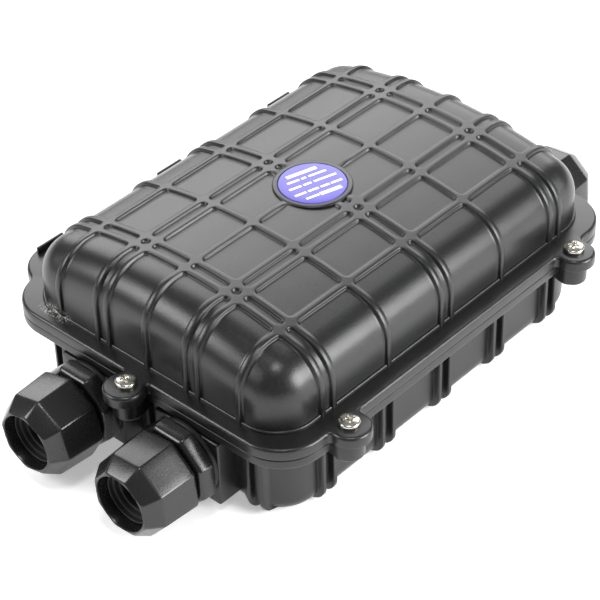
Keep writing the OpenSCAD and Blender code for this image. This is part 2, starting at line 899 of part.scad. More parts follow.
// Clear lid over the upper tray
module tray_cover() {
    color([0.8, 0.85, 0.88, 0.4])
    difference() {
        slab(tray_hw, tray_hl, tray_r, cover_z, cover_z + tray_t);
        for (sx = mirror_x) {
            for (sy = mirror_y) {
                translate([sx * post_x, sy * post_y, cover_z - cut])
                    cylinder(r = small_r + lay, h = tray_t + 2 * cut);
            }
        }
    }
}

// Small slotted screw: thread from z = low up to its seat, head above it
module small_screw(low, seat) {
    translate([0, 0, low])
        cylinder(r = small_r, h = seat - low + fuse);
    translate([0, 0, seat])
        difference() {
            cylinder(r1 = small_head_r, r2 = small_top_r, h = small_head_h);
            translate([-small_slot_l / 2, -small_slot_w / 2, small_head_h - small_slot_d])
                cube([small_slot_l, small_slot_w, small_slot_d + cut]);
        }
}

// Long screws through cover and trays into the posts
module tray_screws() {
    color([0.75, 0.76, 0.78])
    for (sx = mirror_x) {
        for (sy = mirror_y) {
            translate([sx * post_x, sy * post_y, 0])
                small_screw(tray_z - small_grip, cover_z + tray_t);
        }
    }
}

// Places a clamp piece on a gland's axis
module clamp_place(sx, sy) {
    translate([sx * gland_x, sy * clamp_y, 0])
        children();
}

// Lower half of a cable clamp, standing on the base floor
module clamp_saddle(sx, sy) {
    color([0.2, 0.2, 0.21])
    clamp_place(sx, sy)
        difference() {
            translate([-clamp_w / 2, -clamp_l / 2, wall_t])
                cube([clamp_w, clamp_l, gland_z - clamp_split - wall_t]);
            translate([0, clamp_l, gland_z])
                rotate([90, 0, 0])
                    cylinder(r = cable_r + lay, h = 2 * clamp_l);
            for (s = mirror_x) {
                translate([s * clamp_screw_x, 0, wall_t + clamp_hole_z])
                    cylinder(r = small_r, h = gland_z);
            }
        }
}

// Upper half of a cable clamp
module clamp_strap(sx, sy) {
    color([0.2, 0.2, 0.21])
    clamp_place(sx, sy)
        difference() {
            union() {
                translate([-clamp_w / 2, -clamp_l / 2, gland_z + clamp_split])
                    cube([clamp_w, clamp_l, strap_t]);
                translate([-cable_r - strap_side, -clamp_l / 2, gland_z + clamp_split])
                    cube([2 * (cable_r + strap_side), clamp_l, clamp_top_z - gland_z - clamp_split]);
            }
            translate([0, clamp_l, gland_z])
                rotate([90, 0, 0])
                    cylinder(r = cable_r + lay, h = 2 * clamp_l);
            for (s = mirror_x) {
                translate([s * clamp_screw_x, 0, gland_z])
                    cylinder(r = small_r + lay, h = clamp_top_z);
            }
        }
}

// Screws that draw the clamp halves together
module clamp_screws() {
    color([0.75, 0.76, 0.78])
    for (sx = mirror_x) {
        for (sy = mirror_y) {
            for (s = mirror_x) {
                translate([sx * gland_x + s * clamp_screw_x, sy * clamp_y, 0])
                    small_screw(wall_t + clamp_hole_z + cut, clamp_seat_z);
            }
        }
    }
}

base_shell();
lid_shell();
lid_gasket();
lid_screws();
screw_inserts();
label_disc();
gland_washer(-1, -1);  // gland_washer_front_left
gland_body(-1, -1);  // gland_body_front_left
gland_seal(-1, -1);  // gland_seal_front_left
gland_cap_nut(-1, -1, turn_left);  // gland_cap_nut_front_left
gland_lock_nut(-1, -1);  // gland_lock_nut_front_left
gland_washer(1, -1);  // gland_washer_front_right
gland_body(1, -1);  // gland_body_front_right
gland_seal(1, -1);  // gland_seal_front_right
gland_cap_nut(1, -1, turn_right);  // gland_cap_nut_front_right
gland_lock_nut(1, -1);  // gland_lock_nut_front_right
gland_washer(-1, 1);  // gland_washer_rear_left
gland_body(-1, 1);  // gland_body_rear_left
gland_seal(-1, 1);  // gland_seal_rear_left
gland_cap_nut(-1, 1, turn_left);  // gland_cap_nut_rear_left
gland_lock_nut(-1, 1);  // gland_lock_nut_rear_left
gland_washer(1, 1);  // gland_washer_rear_right
gland_body(1, 1);  // gland_body_rear_right
gland_seal(1, 1);  // gland_seal_rear_right
gland_cap_nut(1, 1, turn_right);  // gland_cap_nut_rear_right
gland_lock_nut(1, 1);  // gland_lock_nut_rear_right
tray_posts();
splice_tray(tray_z);  // splice_tray_lower
splice_tray(tray_deck_z);  // splice_tray_upper
splice_holder(tray_z);  // splice_holder_lower
splice_holder(tray_deck_z);  // splice_holder_upper
tray_cover();
tray_screws();
clamp_saddle(-1, -1);  // clamp_saddle_front_left
clamp_strap(-1, -1);  // clamp_strap_front_left
clamp_saddle(1, -1);  // clamp_saddle_front_right
clamp_strap(1, -1);  // clamp_strap_front_right
clamp_saddle(-1, 1);  // clamp_saddle_rear_left
clamp_strap(-1, 1);  // clamp_strap_rear_left
clamp_saddle(1, 1);  // clamp_saddle_rear_right
clamp_strap(1, 1);  // clamp_strap_rear_right
clamp_screws();
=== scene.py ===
"""Builds the looks of a flat two-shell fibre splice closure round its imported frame."""

import math

import bpy
import bmesh
import numpy as np
from mathutils import Matrix, Vector


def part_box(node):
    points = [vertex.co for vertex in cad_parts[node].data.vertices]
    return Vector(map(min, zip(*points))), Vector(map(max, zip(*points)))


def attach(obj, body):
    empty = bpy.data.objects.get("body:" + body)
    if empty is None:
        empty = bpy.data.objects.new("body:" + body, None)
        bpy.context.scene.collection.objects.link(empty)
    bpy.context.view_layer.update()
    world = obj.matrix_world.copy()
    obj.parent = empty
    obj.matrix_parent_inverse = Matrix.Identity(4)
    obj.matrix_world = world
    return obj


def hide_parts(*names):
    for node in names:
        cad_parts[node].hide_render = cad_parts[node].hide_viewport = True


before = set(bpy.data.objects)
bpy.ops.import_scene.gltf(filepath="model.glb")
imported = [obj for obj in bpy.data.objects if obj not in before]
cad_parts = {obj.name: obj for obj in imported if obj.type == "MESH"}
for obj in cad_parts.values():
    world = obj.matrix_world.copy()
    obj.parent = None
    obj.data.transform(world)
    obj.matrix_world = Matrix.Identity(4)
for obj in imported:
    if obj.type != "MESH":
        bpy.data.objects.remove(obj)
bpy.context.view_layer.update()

bl_info = {
    "name": "Fibre splice closure",
    "version": (1, 0, 0),
    "blender": (4, 5, 0),
    "location": "View3D > Sidebar > Closure",
    "description": "Dresses the frame of a ribbed fibre splice closure",
    "category": "Object",
}

MM = 0.001

# Glands: name, then their side along X and along Y
GLANDS = [("front_left", -1, -1), ("front_right", 1, -1), ("rear_left", -1, 1), ("rear_right", 1, 1)]
GLAND_X, GLAND_Z = 28, 21.7
WALL_BORE_R, PAD_BORE_R = 12.7, 12.65
CAP_TURN_LEFT, CAP_TURN_RIGHT = 8, 18

# Lid surface: a crowned core, and one radius round it for shoulders and corners
LID_CORE_X, LID_CORE_Y, LID_R = 56.2, 85.0, 17.6
CROWN_R, LID_TOP = 258.6, 84.6
CROWN_CORE = CROWN_R - LID_R
CROWN_Z = LID_TOP - CROWN_R
CROWN_TILT = math.asin(LID_CORE_X / CROWN_CORE)
LID_CORE_Z = CROWN_Z + CROWN_CORE * math.cos(CROWN_TILT)
LID_RIBS_X = [-52.0, -29.2, -22.5, 0.0, 22.5, 29.2, 52.0]
LID_RIBS_Y = [-78.35, -71.65, -37.5, -3.35, 3.35, 37.5, 71.65, 78.35]

# Base tub
BASE_CORE_X, BASE_CORE_Y, BASE_R, BASE_EDGE = 54.0, 82.0, 18.0, 8.0
BASE_RIBS_X = [-60.95, -54.25, -3.35, 3.35, 54.25, 60.95]
BASE_RIBS_Y = [y + s for y in (-75, -37.5, 0, 37.5, 75) for s in (-3.35, 3.35)]
WALL = 3.0
GROOVE_X, GROOVE_Y, GROOVE_R, GROOVE_WIDE = 74, 101, 12, 4
TRAY_POST_X, TRAY_POST_Y = 50, 60

# Points of the ribbed skins: widest spacing, and what their attributes are called
LID_GRID_X, LID_GRID_Y, BASE_GRID = 4.5, 5.0, 6.0
LID_CORNER_STEPS = 16
RIB_DISTANCE, RIB_PUSH = "rib_distance", "rib_push"
NO_RIB = 50.0
LABEL_CLEAR_R = 16.6

# Middle of the scuff on the lid, in metres
SCUFF_PLACE = (-0.0555, -0.1032, 0.0485)

# Label print: its turn in degrees, and each bar's centre along and across the print, then half
# its length and half its width
PRINT_TURN = 73
LABEL_BARS = [
    (-0.2, 9.1, 7.5, 1.05),
    (-6.6, 5.1, 3.0, 0.65), (-1.4, 5.1, 1.2, 0.65), (5.4, 5.1, 4.4, 0.65),
    (-8.2, 0.6, 3.0, 0.65), (-2.2, 0.6, 2.0, 0.65), (6.6, 0.6, 5.6, 0.65),
    (-8.6, -4.4, 2.8, 0.65), (-2.2, -4.4, 2.6, 0.65), (3.6, -4.4, 2.2, 0.65), (9.4, -4.4, 2.8, 0.65),
    (-5.1, -8.7, 3.2, 0.65), (3.9, -8.8, 5.3, 1.1),
]

# Flanges and ears
PART_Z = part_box("base_shell")[1].z / MM
FLANGE_TOP = PART_Z + 5.5
FLANGE_LOW = PART_Z - 4.5
FLANGE_X, FLANGE_Y, FLANGE_R = 83.0, 110.0, 21.0
EARS = [(86.3, 75), (86.3, -75), (-86.3, 75), (-86.3, -75), (0, 117.1), (0, -117.1)]
SCREWS = [(85.6, 75), (85.6, -75), (-85.6, 75), (-85.6, -75), (0, 115.6), (0, -115.6)]
EAR_R = 9.0
LOBES = [(-78.0, -75.0), (-78.0, 0.0), (-78.0, 75.0)]
LOBE_R = 18.3


# ---------------------------------------------------------------- sizes and finishes


def length(name, description, default):
    """A size in the sidebar."""
    return bpy.props.FloatProperty(name=name, description=description, default=default, unit="LENGTH")


def tint(name, description, default):
    """A colour in the sidebar, in linear numbers."""
    return bpy.props.FloatVectorProperty(
        name=name, description=description, default=default, subtype="COLOR")


class ClosureShellSizes(bpy.types.PropertyGroup):
    """Sizes of the two moulded shells."""

    lid_rib_height: length("Lid rib height", "How far the lid's ribs stand proud", 0.0014)
    lid_rib_tip: length("Lid rib width", "Width of a lid rib at its tip", 0.0022)
    lid_rib_slope: length("Lid rib slope", "Width of a lid rib's flank", 0.0009)
    base_rib_height: length("Base rib height", "How far the base's ribs stand proud", 0.0029)
    base_rib_tip: length("Base rib width", "Width of a base rib at its tip", 0.0017)
    base_rib_slope: length("Base rib slope", "Width of a base rib's flank", 0.0006)
    panel_corner: length("Panel corner radius", "Rounding where two ribs cross", 0.0024)
    flange_round: length("Flange edge radius", "Rounding of the flange's upper edge", 0.0016)


class ClosureFinishes(bpy.types.PropertyGroup):
    """Colours of the closure's materials."""

    shell: tint("Shell", "Moulded black polypropylene", (0.008, 0.0082, 0.0088))
    gland: tint("Gland", "Black nylon of the glands", (0.009, 0.009, 0.0095))
    label: tint("Label", "Blue-violet film of the round label", (0.085, 0.07, 0.42))


SHELL_KEY = "closure_shell_sizes"
FINISH_KEY = "closure_finishes"


def shell_sizes():
    """The shells' sizes as set in the scene."""
    return getattr(bpy.context.scene, SHELL_KEY)


def finishes():
    """The colours as set in the scene."""
    return getattr(bpy.context.scene, FINISH_KEY)


# ---------------------------------------------------------------- meshes


def merged(points, faces):
    """Merges coinciding points; gives points, faces and each old point's new number."""
    key = np.round(np.asarray(points) * 1e4).astype(np.int64)
    _, first, inverse = np.unique(key, axis=0, return_index=True, return_inverse=True)
    inverse = inverse.reshape(-1)
    kept = []
    for face in faces:
        loop = []
        for i in inverse[list(face)]:
            if not loop or loop[-1] != i:
                loop.append(int(i))
        if len(loop) > 2 and loop[0] == loop[-1]:
            loop.pop()
        if len(set(loop)) > 2:
            kept.append(loop)
    return np.asarray(points)[first], kept, first


def plain_mesh(name, points, faces, values=None):
    """A mesh from points in millimetres, with optional point attributes."""
    points, faces, first = merged(points, faces)
    mesh = bpy.data.meshes.new(name)
    mesh.from_pydata((points * MM).tolist(), [], faces)
    for key, (kind, data) in (values or {}).items():
        layer = mesh.attributes.new(key, kind, "POINT")
        data = np.asarray(data, np.float32)[first]
        layer.data.foreach_set("vector" if kind == "FLOAT_VECTOR" else "value", data.reshape(-1))
    mesh.update()
    return mesh


def outward(mesh):
    """The same mesh with its faces turned outwards."""
    work = bmesh.new()
    work.from_mesh(mesh)
    bmesh.ops.recalc_face_normals(work, faces=work.faces)
    work.to_mesh(mesh)
    work.free()
    return mesh


def joined(name, meshes):
    """One mesh from several closed ones, faces outwards."""
    work = bmesh.new()
    for mesh in meshes:
        work.from_mesh(outward(mesh))
    result = bpy.data.meshes.new(name)
    work.to_mesh(result)
    work.free()
    for mesh in meshes:
        bpy.data.meshes.remove(mesh)
    return result


def piece(name, mesh, material, body, nodes, sharp=32):
    """Puts a finished mesh in the scene as a piece of the object."""
    mesh.name = name
    mesh.materials.clear()
    mesh.materials.append(material)
    for polygon in mesh.polygons:
        polygon.material_index = 0
    mesh.shade_smooth()
    mesh.set_sharp_from_angle(angle=math.radians(sharp))
    made = bpy.data.objects.new(name, mesh)
    bpy.context.scene.collection.objects.link(made)
    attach(made, body)
    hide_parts(*nodes)
    return made


def stacked(rings, closed_tube=False, caps=(True, True)):
    """Points and faces of rings joined one to the next."""
    count = len(rings[0])
    points = np.concatenate(rings)
    faces = []
    pairs = list(zip(range(len(rings) - 1), range(1, len(rings))))
    if closed_tube:
        pairs.append((len(rings) - 1, 0))
    for a, b in pairs:
        for i in range(count):
            j = (i + 1) % count
            faces.append((a * count + i, a * count + j, b * count + j, b * count + i))
    if not closed_tube:
        if caps[0]:
            faces.append(tuple(range(count))[::-1])
        if caps[1]:
            faces.append(tuple((len(rings) - 1) * count + i for i in range(count)))
    return points, faces


def round_rings(profile, count):
    """Round rings from (radius, height) pairs in millimetres."""
    a = np.linspace(0, 2 * math.pi, count, endpoint=False)
    return [np.column_stack([r * np.cos(a), r * np.sin(a), np.full(count, z)]) for r, z in profile]


def round_tube(name, profile, count):
    """A ring-shaped solid turned from a closed profile."""
    return plain_mesh(name, *stacked(round_rings(profile, count), closed_tube=True))


def appended(points, faces, more, more_faces, order=1):
    """Points and faces with a second lot behind them; order -1 turns its faces over."""
    faces = faces + [tuple(len(points) + i for i in f)[::order] for f in more_faces]
    return np.concatenate([points, more]), faces


def traced(distance, start, step):
    """Closed outline of a plan shape, followed along its zero distance."""
    aside = 0.01
    most_points = 6000

    def slope(p):
        return np.array([
            distance(p[0] + aside, p[1]) - distance(p[0] - aside, p[1]),
            distance(p[0], p[1] + aside) - distance(p[0], p[1] - aside)]) / (2 * aside)

    point, outline = np.array(start, float), []
    while len(outline) < most_points:
        for _ in range(4):
            g = slope(point)
            point = point - g * distance(*point) / max(g @ g, 1e-9)
        if len(outline) > 12 and np.hypot(*(point - outline[0])) < step * 0.8:
            break
        outline.append(point.copy())
        g = slope(point)
        point = point + np.array([-g[1], g[0]]) / max(np.hypot(*g), 1e-9) * step
    return np.array(outline)


def inset(outline, amount):
    """The outline moved inwards along its own normals."""
    along = np.roll(outline, -1, 0) - np.roll(outline, 1, 0)
    along /= np.maximum(np.hypot(along[:, 0], along[:, 1]), 1e-9)[:, None]
    normal = np.stack([along[:, 1], -along[:, 0]], 1)
    return outline - normal * amount


def filled(loops, height):
    """Flat triangles between an outline and its holes."""
    work = bmesh.new()
    for loop in loops:
        ring = [work.verts.new((p[0], p[1], height)) for p in loop]
        for i, vert in enumerate(ring):
            work.edges.new((vert, ring[(i + 1) % len(ring)]))
    bmesh.ops.triangle_fill(work, edges=work.edges[:], use_beauty=True)
    work.verts.index_update()
    points = [tuple(v.co) for v in work.verts]
    faces = [tuple(v.index for v in f.verts) for f in work.faces]
    work.free()
    return points, faces


def plate(name, outline, low, high, round_low=0.0, round_high=0.0, holes=()):
    """A closed plate with rounded outer edges and upright holes."""
    steps = 5
    rings = []
    for i in range(steps + 1):
        if not round_low and i:
            break
        a = math.pi / 2 * i / steps
        edge = inset(outline, round_low * (1 - math.sin(a)))
        rings.append((edge, low + round_low * (1 - math.cos(a))))
    for i in range(steps + 1):
        if not round_high and i:
            break
        a = math.pi / 2 * i / steps
        edge = inset(outline, round_high * (1 - math.cos(a)))
        rings.append((edge, high - round_high * (1 - math.sin(a))))
    solid = [np.column_stack([r, np.full(len(r), z)]) for r, z in rings]
    points, faces = stacked(solid, caps=(False, False))
    points = [tuple(p) for p in points]
    for hole in holes:
        start = len(points)
        count = len(hole)
        points += [(p[0], p[1], low) for p in hole] + [(p[0], p[1], high) for p in hole]
        for i in range(count):
            j = (i + 1) % count
            faces.append((start + i, start + count + i, start + count + j, start + j))
    for edge, height in ((rings[0][0], low), (rings[-1][0], high)):
        more, tris = filled([edge, *holes], height)
        start = len(points)
        points += more
        faces += [tuple(start + i for i in t) for t in tris]
    return plain_mesh(name, points, faces)


def block_distance(half_x, half_y, radius, centre=(0, 0)):
    """Distance from a rounded rectangle, below zero inside it."""
    def distance(x, y):
        qx = abs(x - centre[0]) - half_x + radius
        qy = abs(y - centre[1]) - half_y + radius
        return math.hypot(max(qx, 0), max(qy, 0)) + min(max(qx, qy), 0) - radius
    return distance


def disc_distance(centre, radius):
    """Distance from a disc, below zero inside it."""
    def distance(x, y):
        return math.hypot(x - centre[0], y - centre[1]) - radius
    return distance


def blended(shapes, soften):
    """Union of plan shapes with a soft fillet where they meet."""
    def distance(x, y):
        result = shapes[0](x, y)
        for shape in shapes[1:]:
            other = shape(x, y)
            h = max(soften - abs(result - other), 0) / soften
            result = min(result, other) - h * h * soften / 4
        return result
    return distance


def rounded_outline(half_x, half_y, radius, per_corner=14):
    """Outline of a rounded rectangle round the middle."""
    points = []
    for sx, sy, start in ((1, 1, 0), (-1, 1, 90), (-1, -1, 180), (1, -1, 270)):
        for i in range(per_corner + 1):
            a = math.radians(start + 90 * i / per_corner)
            points.append((sx * (half_x - radius) + radius * math.cos(a),
                           sy * (half_y - radius) + radius * math.sin(a)))
    return np.array(points)


# ---------------------------------------------------------------- ribbed skins


def rib_marks(limit, ribs, tip, slope, corner, gap):
    """Coordinates across a skin, close together where a rib's flank stands."""
    marks = [-limit, limit]
    offsets = [-0.12, slope * 0.2, slope * 0.4, slope * 0.6, slope * 0.8, slope * 1.04,
               slope + corner * 0.35, slope + corner * 0.8]
    for rib in ribs:
        marks.append(rib)
        for side in (-1, 1):
            marks += [rib + side * (tip / 2 + offset) for offset in offsets]
    marks = sorted(m for m in marks if abs(m) <= limit)
    spaced = [marks[0]]
    for mark in marks[1:]:
        if mark - spaced[-1] < 0.11:
            continue
        pieces_between = math.ceil((mark - spaced[-1]) / gap)
        start = spaced[-1]
        spaced += [start + (mark - start) * k / pieces_between for k in range(1, pieces_between + 1)]
    spaced[-1] = limit
    return np.array(spaced)


def rib_distance(x, y, ribs_x, ribs_y, tip, corner):
    """Distance from the nearest rib's tip, with rounded corners where ribs cross."""
    dx = np.min(np.abs(x[..., None] - np.array(ribs_x)), -1) - tip / 2
    dy = np.min(np.abs(y[..., None] - np.array(ribs_y)), -1) - tip / 2
    inner = np.hypot(np.maximum(corner - dx, 0), np.maximum(corner - dy, 0))
    both = (dx < corner) & (dy < corner)
    return np.where(both, corner - inner, np.minimum(dx, dy))


def perimeter(marks_x, marks_y, corner_marks):
    """Columns round a shell: kind, place along it, and which side it is on."""
    columns = []
    for sy, sx in ((-1, 1), (1, -1)):
        columns += [("end", v, 0, sy) for v in marks_x[::sx] if abs(v) < marks_x[-1]]
        columns += [("corner", a, sx, sy) for a in corner_marks]
        columns += [("side", v, sx, 0) for v in marks_y[:: -sy] if abs(v) < marks_y[-1]]
        columns += [("corner", a, sx, -sy) for a in corner_marks[::-1]]
    return columns


def lid_surface(column, tau, out):
    """Point and direction of the lid's skin at a column; tau runs 0 at the wall to 1 on top."""
    kind, value, sx, sy = column
    swing = tau * math.pi / 2
    radius = LID_R + out
    if kind == "end":
        tilt = math.asin(value / (CROWN_CORE + radius * math.sin(swing)))
        core = np.array([CROWN_CORE * math.sin(tilt), sy * LID_CORE_Y,
                         CROWN_Z + CROWN_CORE * math.cos(tilt)])
        normal = np.array([math.sin(swing) * math.sin(tilt), sy * math.cos(swing),
                           math.sin(swing) * math.cos(tilt)])
        return core + radius * normal, normal
    if kind == "side":
        rise = tau * (math.pi / 2 - CROWN_TILT)
        normal = np.array([sx * math.cos(rise), 0, math.sin(rise)])
        return np.array([sx * LID_CORE_X, value, LID_CORE_Z]) + radius * normal, normal
    flat = np.array([sx * math.sin(value), sy * math.cos(value), 0])
    top = np.array([sx * math.sin(CROWN_TILT), 0, math.cos(CROWN_TILT)])
    between = math.acos(float(np.clip(flat @ top, -1, 1)))
    normal = (math.sin((1 - tau) * between) * flat + math.sin(tau * between) * top) / math.sin(between)
    return np.array([sx * LID_CORE_X, sy * LID_CORE_Y, LID_CORE_Z]) + radius * normal, normal


def lid_rings(columns, out, foot, wall_levels, shoulder_steps):
    """Rings of points and directions from the lid's foot up to its top edge."""
    rings, ways = [], []
    start = [lid_surface(c, 0, out) for c in columns]
    for level in wall_levels:
        ring = np.array([p for p, _ in start])
        ring[:, 2] = foot + (ring[:, 2] - foot) * level
        rings.append(ring)
        ways.append(np.array([n for _, n in start]))
    for i in range(shoulder_steps + 1):
        found = [lid_surface(c, i / shoulder_steps, out) for c in columns]
        rings.append(np.array([p for p, _ in found]))
        ways.append(np.array([n for _, n in found]))
    return rings, ways


def lid_top(marks_x, marks_y):
    """Grid over the lid's crowned top."""
    edge = CROWN_R * math.sin(CROWN_TILT)
    xs = np.concatenate([[-edge], marks_x[1:-1], [edge]])
    ys = np.concatenate([[-LID_CORE_Y], marks_y[1:-1], [LID_CORE_Y]])
    tilt = np.arcsin(xs / CROWN_R)
    x, y = np.meshgrid(xs, ys, indexing="ij")
    z = np.broadcast_to((CROWN_Z + CROWN_R * np.cos(tilt))[:, None], x.shape)
    way = np.stack([np.broadcast_to(np.sin(tilt)[:, None], x.shape), np.zeros_like(x),
                    np.broadcast_to(np.cos(tilt)[:, None], x.shape)], -1)
    points = np.stack([x, y, z], -1).reshape(-1, 3)
    rows = len(ys)
    faces = [(i * rows + j, (i + 1) * rows + j, (i + 1) * rows + j + 1, i * rows + j + 1)
             for i in range(len(xs) - 1) for j in range(rows - 1)]
    return points, way.reshape(-1, 3), faces


def skin_mesh(name, points, faces, distance, ways):
    """A skin whose points carry their rib distance and the way in which a rib rises."""
    extra = len(points) - len(distance)
    distance = np.concatenate([distance, np.full(extra, NO_RIB)])
    ways = np.concatenate([ways, np.zeros((extra, 3))])
    return plain_mesh(name, points, faces, {
        RIB_DISTANCE: ("FLOAT", distance * MM), RIB_PUSH: ("FLOAT_VECTOR", ways)})


def lid_skin(sizes):
    """The lid's wall as one closed shell: ribbed outside, smooth inside."""
    tip, slope = sizes.lid_rib_tip / MM, sizes.lid_rib_slope / MM
    corner = sizes.panel_corner / MM
    marks_x = rib_marks(LID_CORE_X, LID_RIBS_X, tip, slope, corner, LID_GRID_X)
    marks_y = rib_marks(LID_CORE_Y, LID_RIBS_Y, tip, slope, corner, LID_GRID_Y)
    corner_marks = [math.pi / 2 * i / LID_CORNER_STEPS for i in range(LID_CORNER_STEPS + 1)]
    columns = perimeter(marks_x, marks_y, corner_marks)
    foot = FLANGE_TOP - 0.7
    rings, ways = lid_rings(columns, 0, foot, [0, 0.09, 0.4, 0.7], 13)
    inner, _ = lid_rings(columns, -WALL, foot, [0, 0.5], 6)
    top, top_ways, top_faces = lid_top(marks_x, marks_y)
    points, faces = appended(*stacked(rings, caps=(False, False)), top, top_faces)
    ways = np.concatenate([*ways, top_ways])
    distance = rib_distance(points[:, 0], points[:, 1], LID_RIBS_X, LID_RIBS_Y, tip, corner)
    distance = np.where(np.hypot(points[:, 0], points[:, 1]) < LABEL_CLEAR_R, NO_RIB, distance)
    points, faces = appended(points, faces, *stacked([rings[0], inner[0]], caps=(False, False)))
    points, faces = appended(points, faces, *stacked(inner, caps=(False, False)), -1)
    points, faces = appended(points, faces, *inner_top(marks_x, marks_y))
    return skin_mesh("lid skin", points, faces, distance, ways)


def inner_top(marks_x, marks_y):
    """Underside of the lid's top: long strips, and one face beside each side shoulder."""
    edge = (CROWN_R - WALL) * math.sin(CROWN_TILT)
    xs = marks_x[1:-1]
    points, faces = [], []

    def height(x):
        return CROWN_Z + math.sqrt((CROWN_R - WALL) ** 2 - x * x)

    for a, b in zip(xs[:-1], xs[1:]):
        start = len(points)
        points += [(a, -LID_CORE_Y, height(a)), (b, -LID_CORE_Y, height(b)),
                   (b, LID_CORE_Y, height(b)), (a, LID_CORE_Y, height(a))]
        faces.append((start, start + 3, start + 2, start + 1))
    for sx in (-1, 1):
        start = len(points)
        x = sx * xs[-1]
        column = [(x, -LID_CORE_Y, height(x))]
        column += [(sx * edge, y, height(edge)) for y in [-LID_CORE_Y, *marks_y[1:-1], LID_CORE_Y]]
        column += [(x, LID_CORE_Y, height(x))]
        points += column
        faces.append(tuple(range(start, start + len(column))))
    return np.array(points), faces


def base_surface(column, drop, out):
    """Point and sideways direction of the base's skin; drop is 0 on the wall, 1 underneath."""
    kind, value, sx, sy = column
    swing = drop * math.pi / 2
    inset_by = BASE_EDGE * (1 - math.cos(swing))
    height = BASE_EDGE * (1 - math.sin(swing))
    grown = BASE_R + out - inset_by
    if kind == "end":
        return np.array([value, sy * (BASE_CORE_Y + grown), height]), np.array([0, sy, 0])
    if kind == "side":
        return np.array([sx * (BASE_CORE_X + grown), value, height]), np.array([sx, 0, 0])
    flat = np.array([sx * math.sin(value), sy * math.cos(value), 0])
    point = np.array([sx * BASE_CORE_X, sy * BASE_CORE_Y, height]) + flat * grown
    push = np.array([0, sy / max(math.cos(value), 0.5), 0]) if value < 0.6 else np.zeros(3)
    return point, push


def base_skin(sizes):
    """The base's tub: ribbed outside, smooth inside, open at the top."""
    tip, slope = sizes.base_rib_tip / MM, sizes.base_rib_slope / MM
    middle_ribs = [r for r in BASE_RIBS_X if abs(r) < BASE_CORE_X / 2]
    marks_x = rib_marks(BASE_CORE_X, middle_ribs, tip, slope, 1.0, BASE_GRID)
    marks_y = rib_marks(BASE_CORE_Y, BASE_RIBS_Y, tip, slope, 1.0, BASE_GRID)
    across = rib_marks(BASE_R, [0.25, 6.95], tip, slope, 1.0, 1.5)
    corner_marks = sorted({0.0, *[math.asin(a / BASE_R) for a in across if 0 < a < 11],
                           *[math.pi / 2 * (0.46 + 0.54 * i / 8) for i in range(9)]})
    columns = perimeter(marks_x, marks_y, corner_marks)
    top = FLANGE_LOW + 0.6
    rings, ways = [], []
    levels = [(0, z) for z in (top, 30.0, 19.0, BASE_EDGE + 1)]
    levels += [(i / 8, None) for i in range(9)]
    for drop, z in levels:
        found = [base_surface(c, drop, 0) for c in columns]
        ring = np.array([p for p, _ in found])
        if z is not None:
            ring[:, 2] = z
        rings.append(ring)
        ways.append(np.array([w for _, w in found]))
    # The shell is stacked from the bottom edge up, then down its inside
    outside = np.concatenate(rings[::-1])
    way = np.concatenate(ways[::-1])
    distance_x = np.min(np.abs(outside[:, 0][:, None] - np.array(BASE_RIBS_X)), 1) - tip / 2
    distance_y = np.min(np.abs(outside[:, 1][:, None] - np.array(BASE_RIBS_Y)), 1) - tip / 2
    distance = np.where(np.abs(way[:, 0]) > 0, distance_y, distance_x)
    distance = np.where(np.abs(way).sum(1) > 0, distance, NO_RIB)
    inner = []
    for z, cut in ((top, 0), (12.0, 0), (WALL + 2, 0), (WALL + 0.6, 0.6), (WALL, 2)):
        ring = np.array([base_surface(c, 0, -WALL - cut)[0] for c in columns])
        ring[:, 2] = z
        inner.append(ring)
    return skin_mesh("base skin", *stacked(rings[::-1] + inner), distance, way)


# ---------------------------------------------------------------- geometry nodes


def node(tree, kind, links=None, **settings):
    """Adds one node with its settings and links."""
    made = tree.nodes.new(kind)
    values = settings.pop("values", {})
    for key, value in settings.items():
        setattr(made, key, value)
    for key, value in values.items():
        made.inputs[key].default_value = value
    for key, source in (links or {}).items():
        tree.links.new(source, made.inputs[key])
    return made


def socket(tree, name, kind, direction="INPUT", default=None):
    """Adds one named input or output to a tree."""
    made = tree.interface.new_socket(name=name, in_out=direction, socket_type=kind)
    if default is not None:
        made.default_value = default
    return made


def new_tree(name, *inputs):
    """A group of Geometry Nodes with its own inputs beside geometry and material."""
    tree = bpy.data.node_groups.new(name, "GeometryNodeTree")
    socket(tree, "Geometry", "NodeSocketGeometry")
    for label, kind, default in inputs:
        socket(tree, label, kind, default=default)
    socket(tree, "Material", "NodeSocketMaterial")
    socket(tree, "Geometry", "NodeSocketGeometry", "OUTPUT")
    return tree, node(tree, "NodeGroupInput")


def ended(tree, start, geometry):
    """The tree with its instances made real, its material set and its output."""
    real = node(tree, "GeometryNodeRealizeInstances", links={"Geometry": geometry})
    dressed = node(tree, "GeometryNodeSetMaterial",
                   links={"Geometry": real.outputs[0], "Material": start.outputs["Material"]})
    node(tree, "NodeGroupOutput", links={"Geometry": dressed.outputs[0]})
    return tree


def attribute(tree, name, kind):
    """Output of a node that reads a named attribute."""
    found = node(tree, "GeometryNodeInputNamedAttribute", data_type=kind, values={"Name": name})
    return found.outputs["Attribute"]


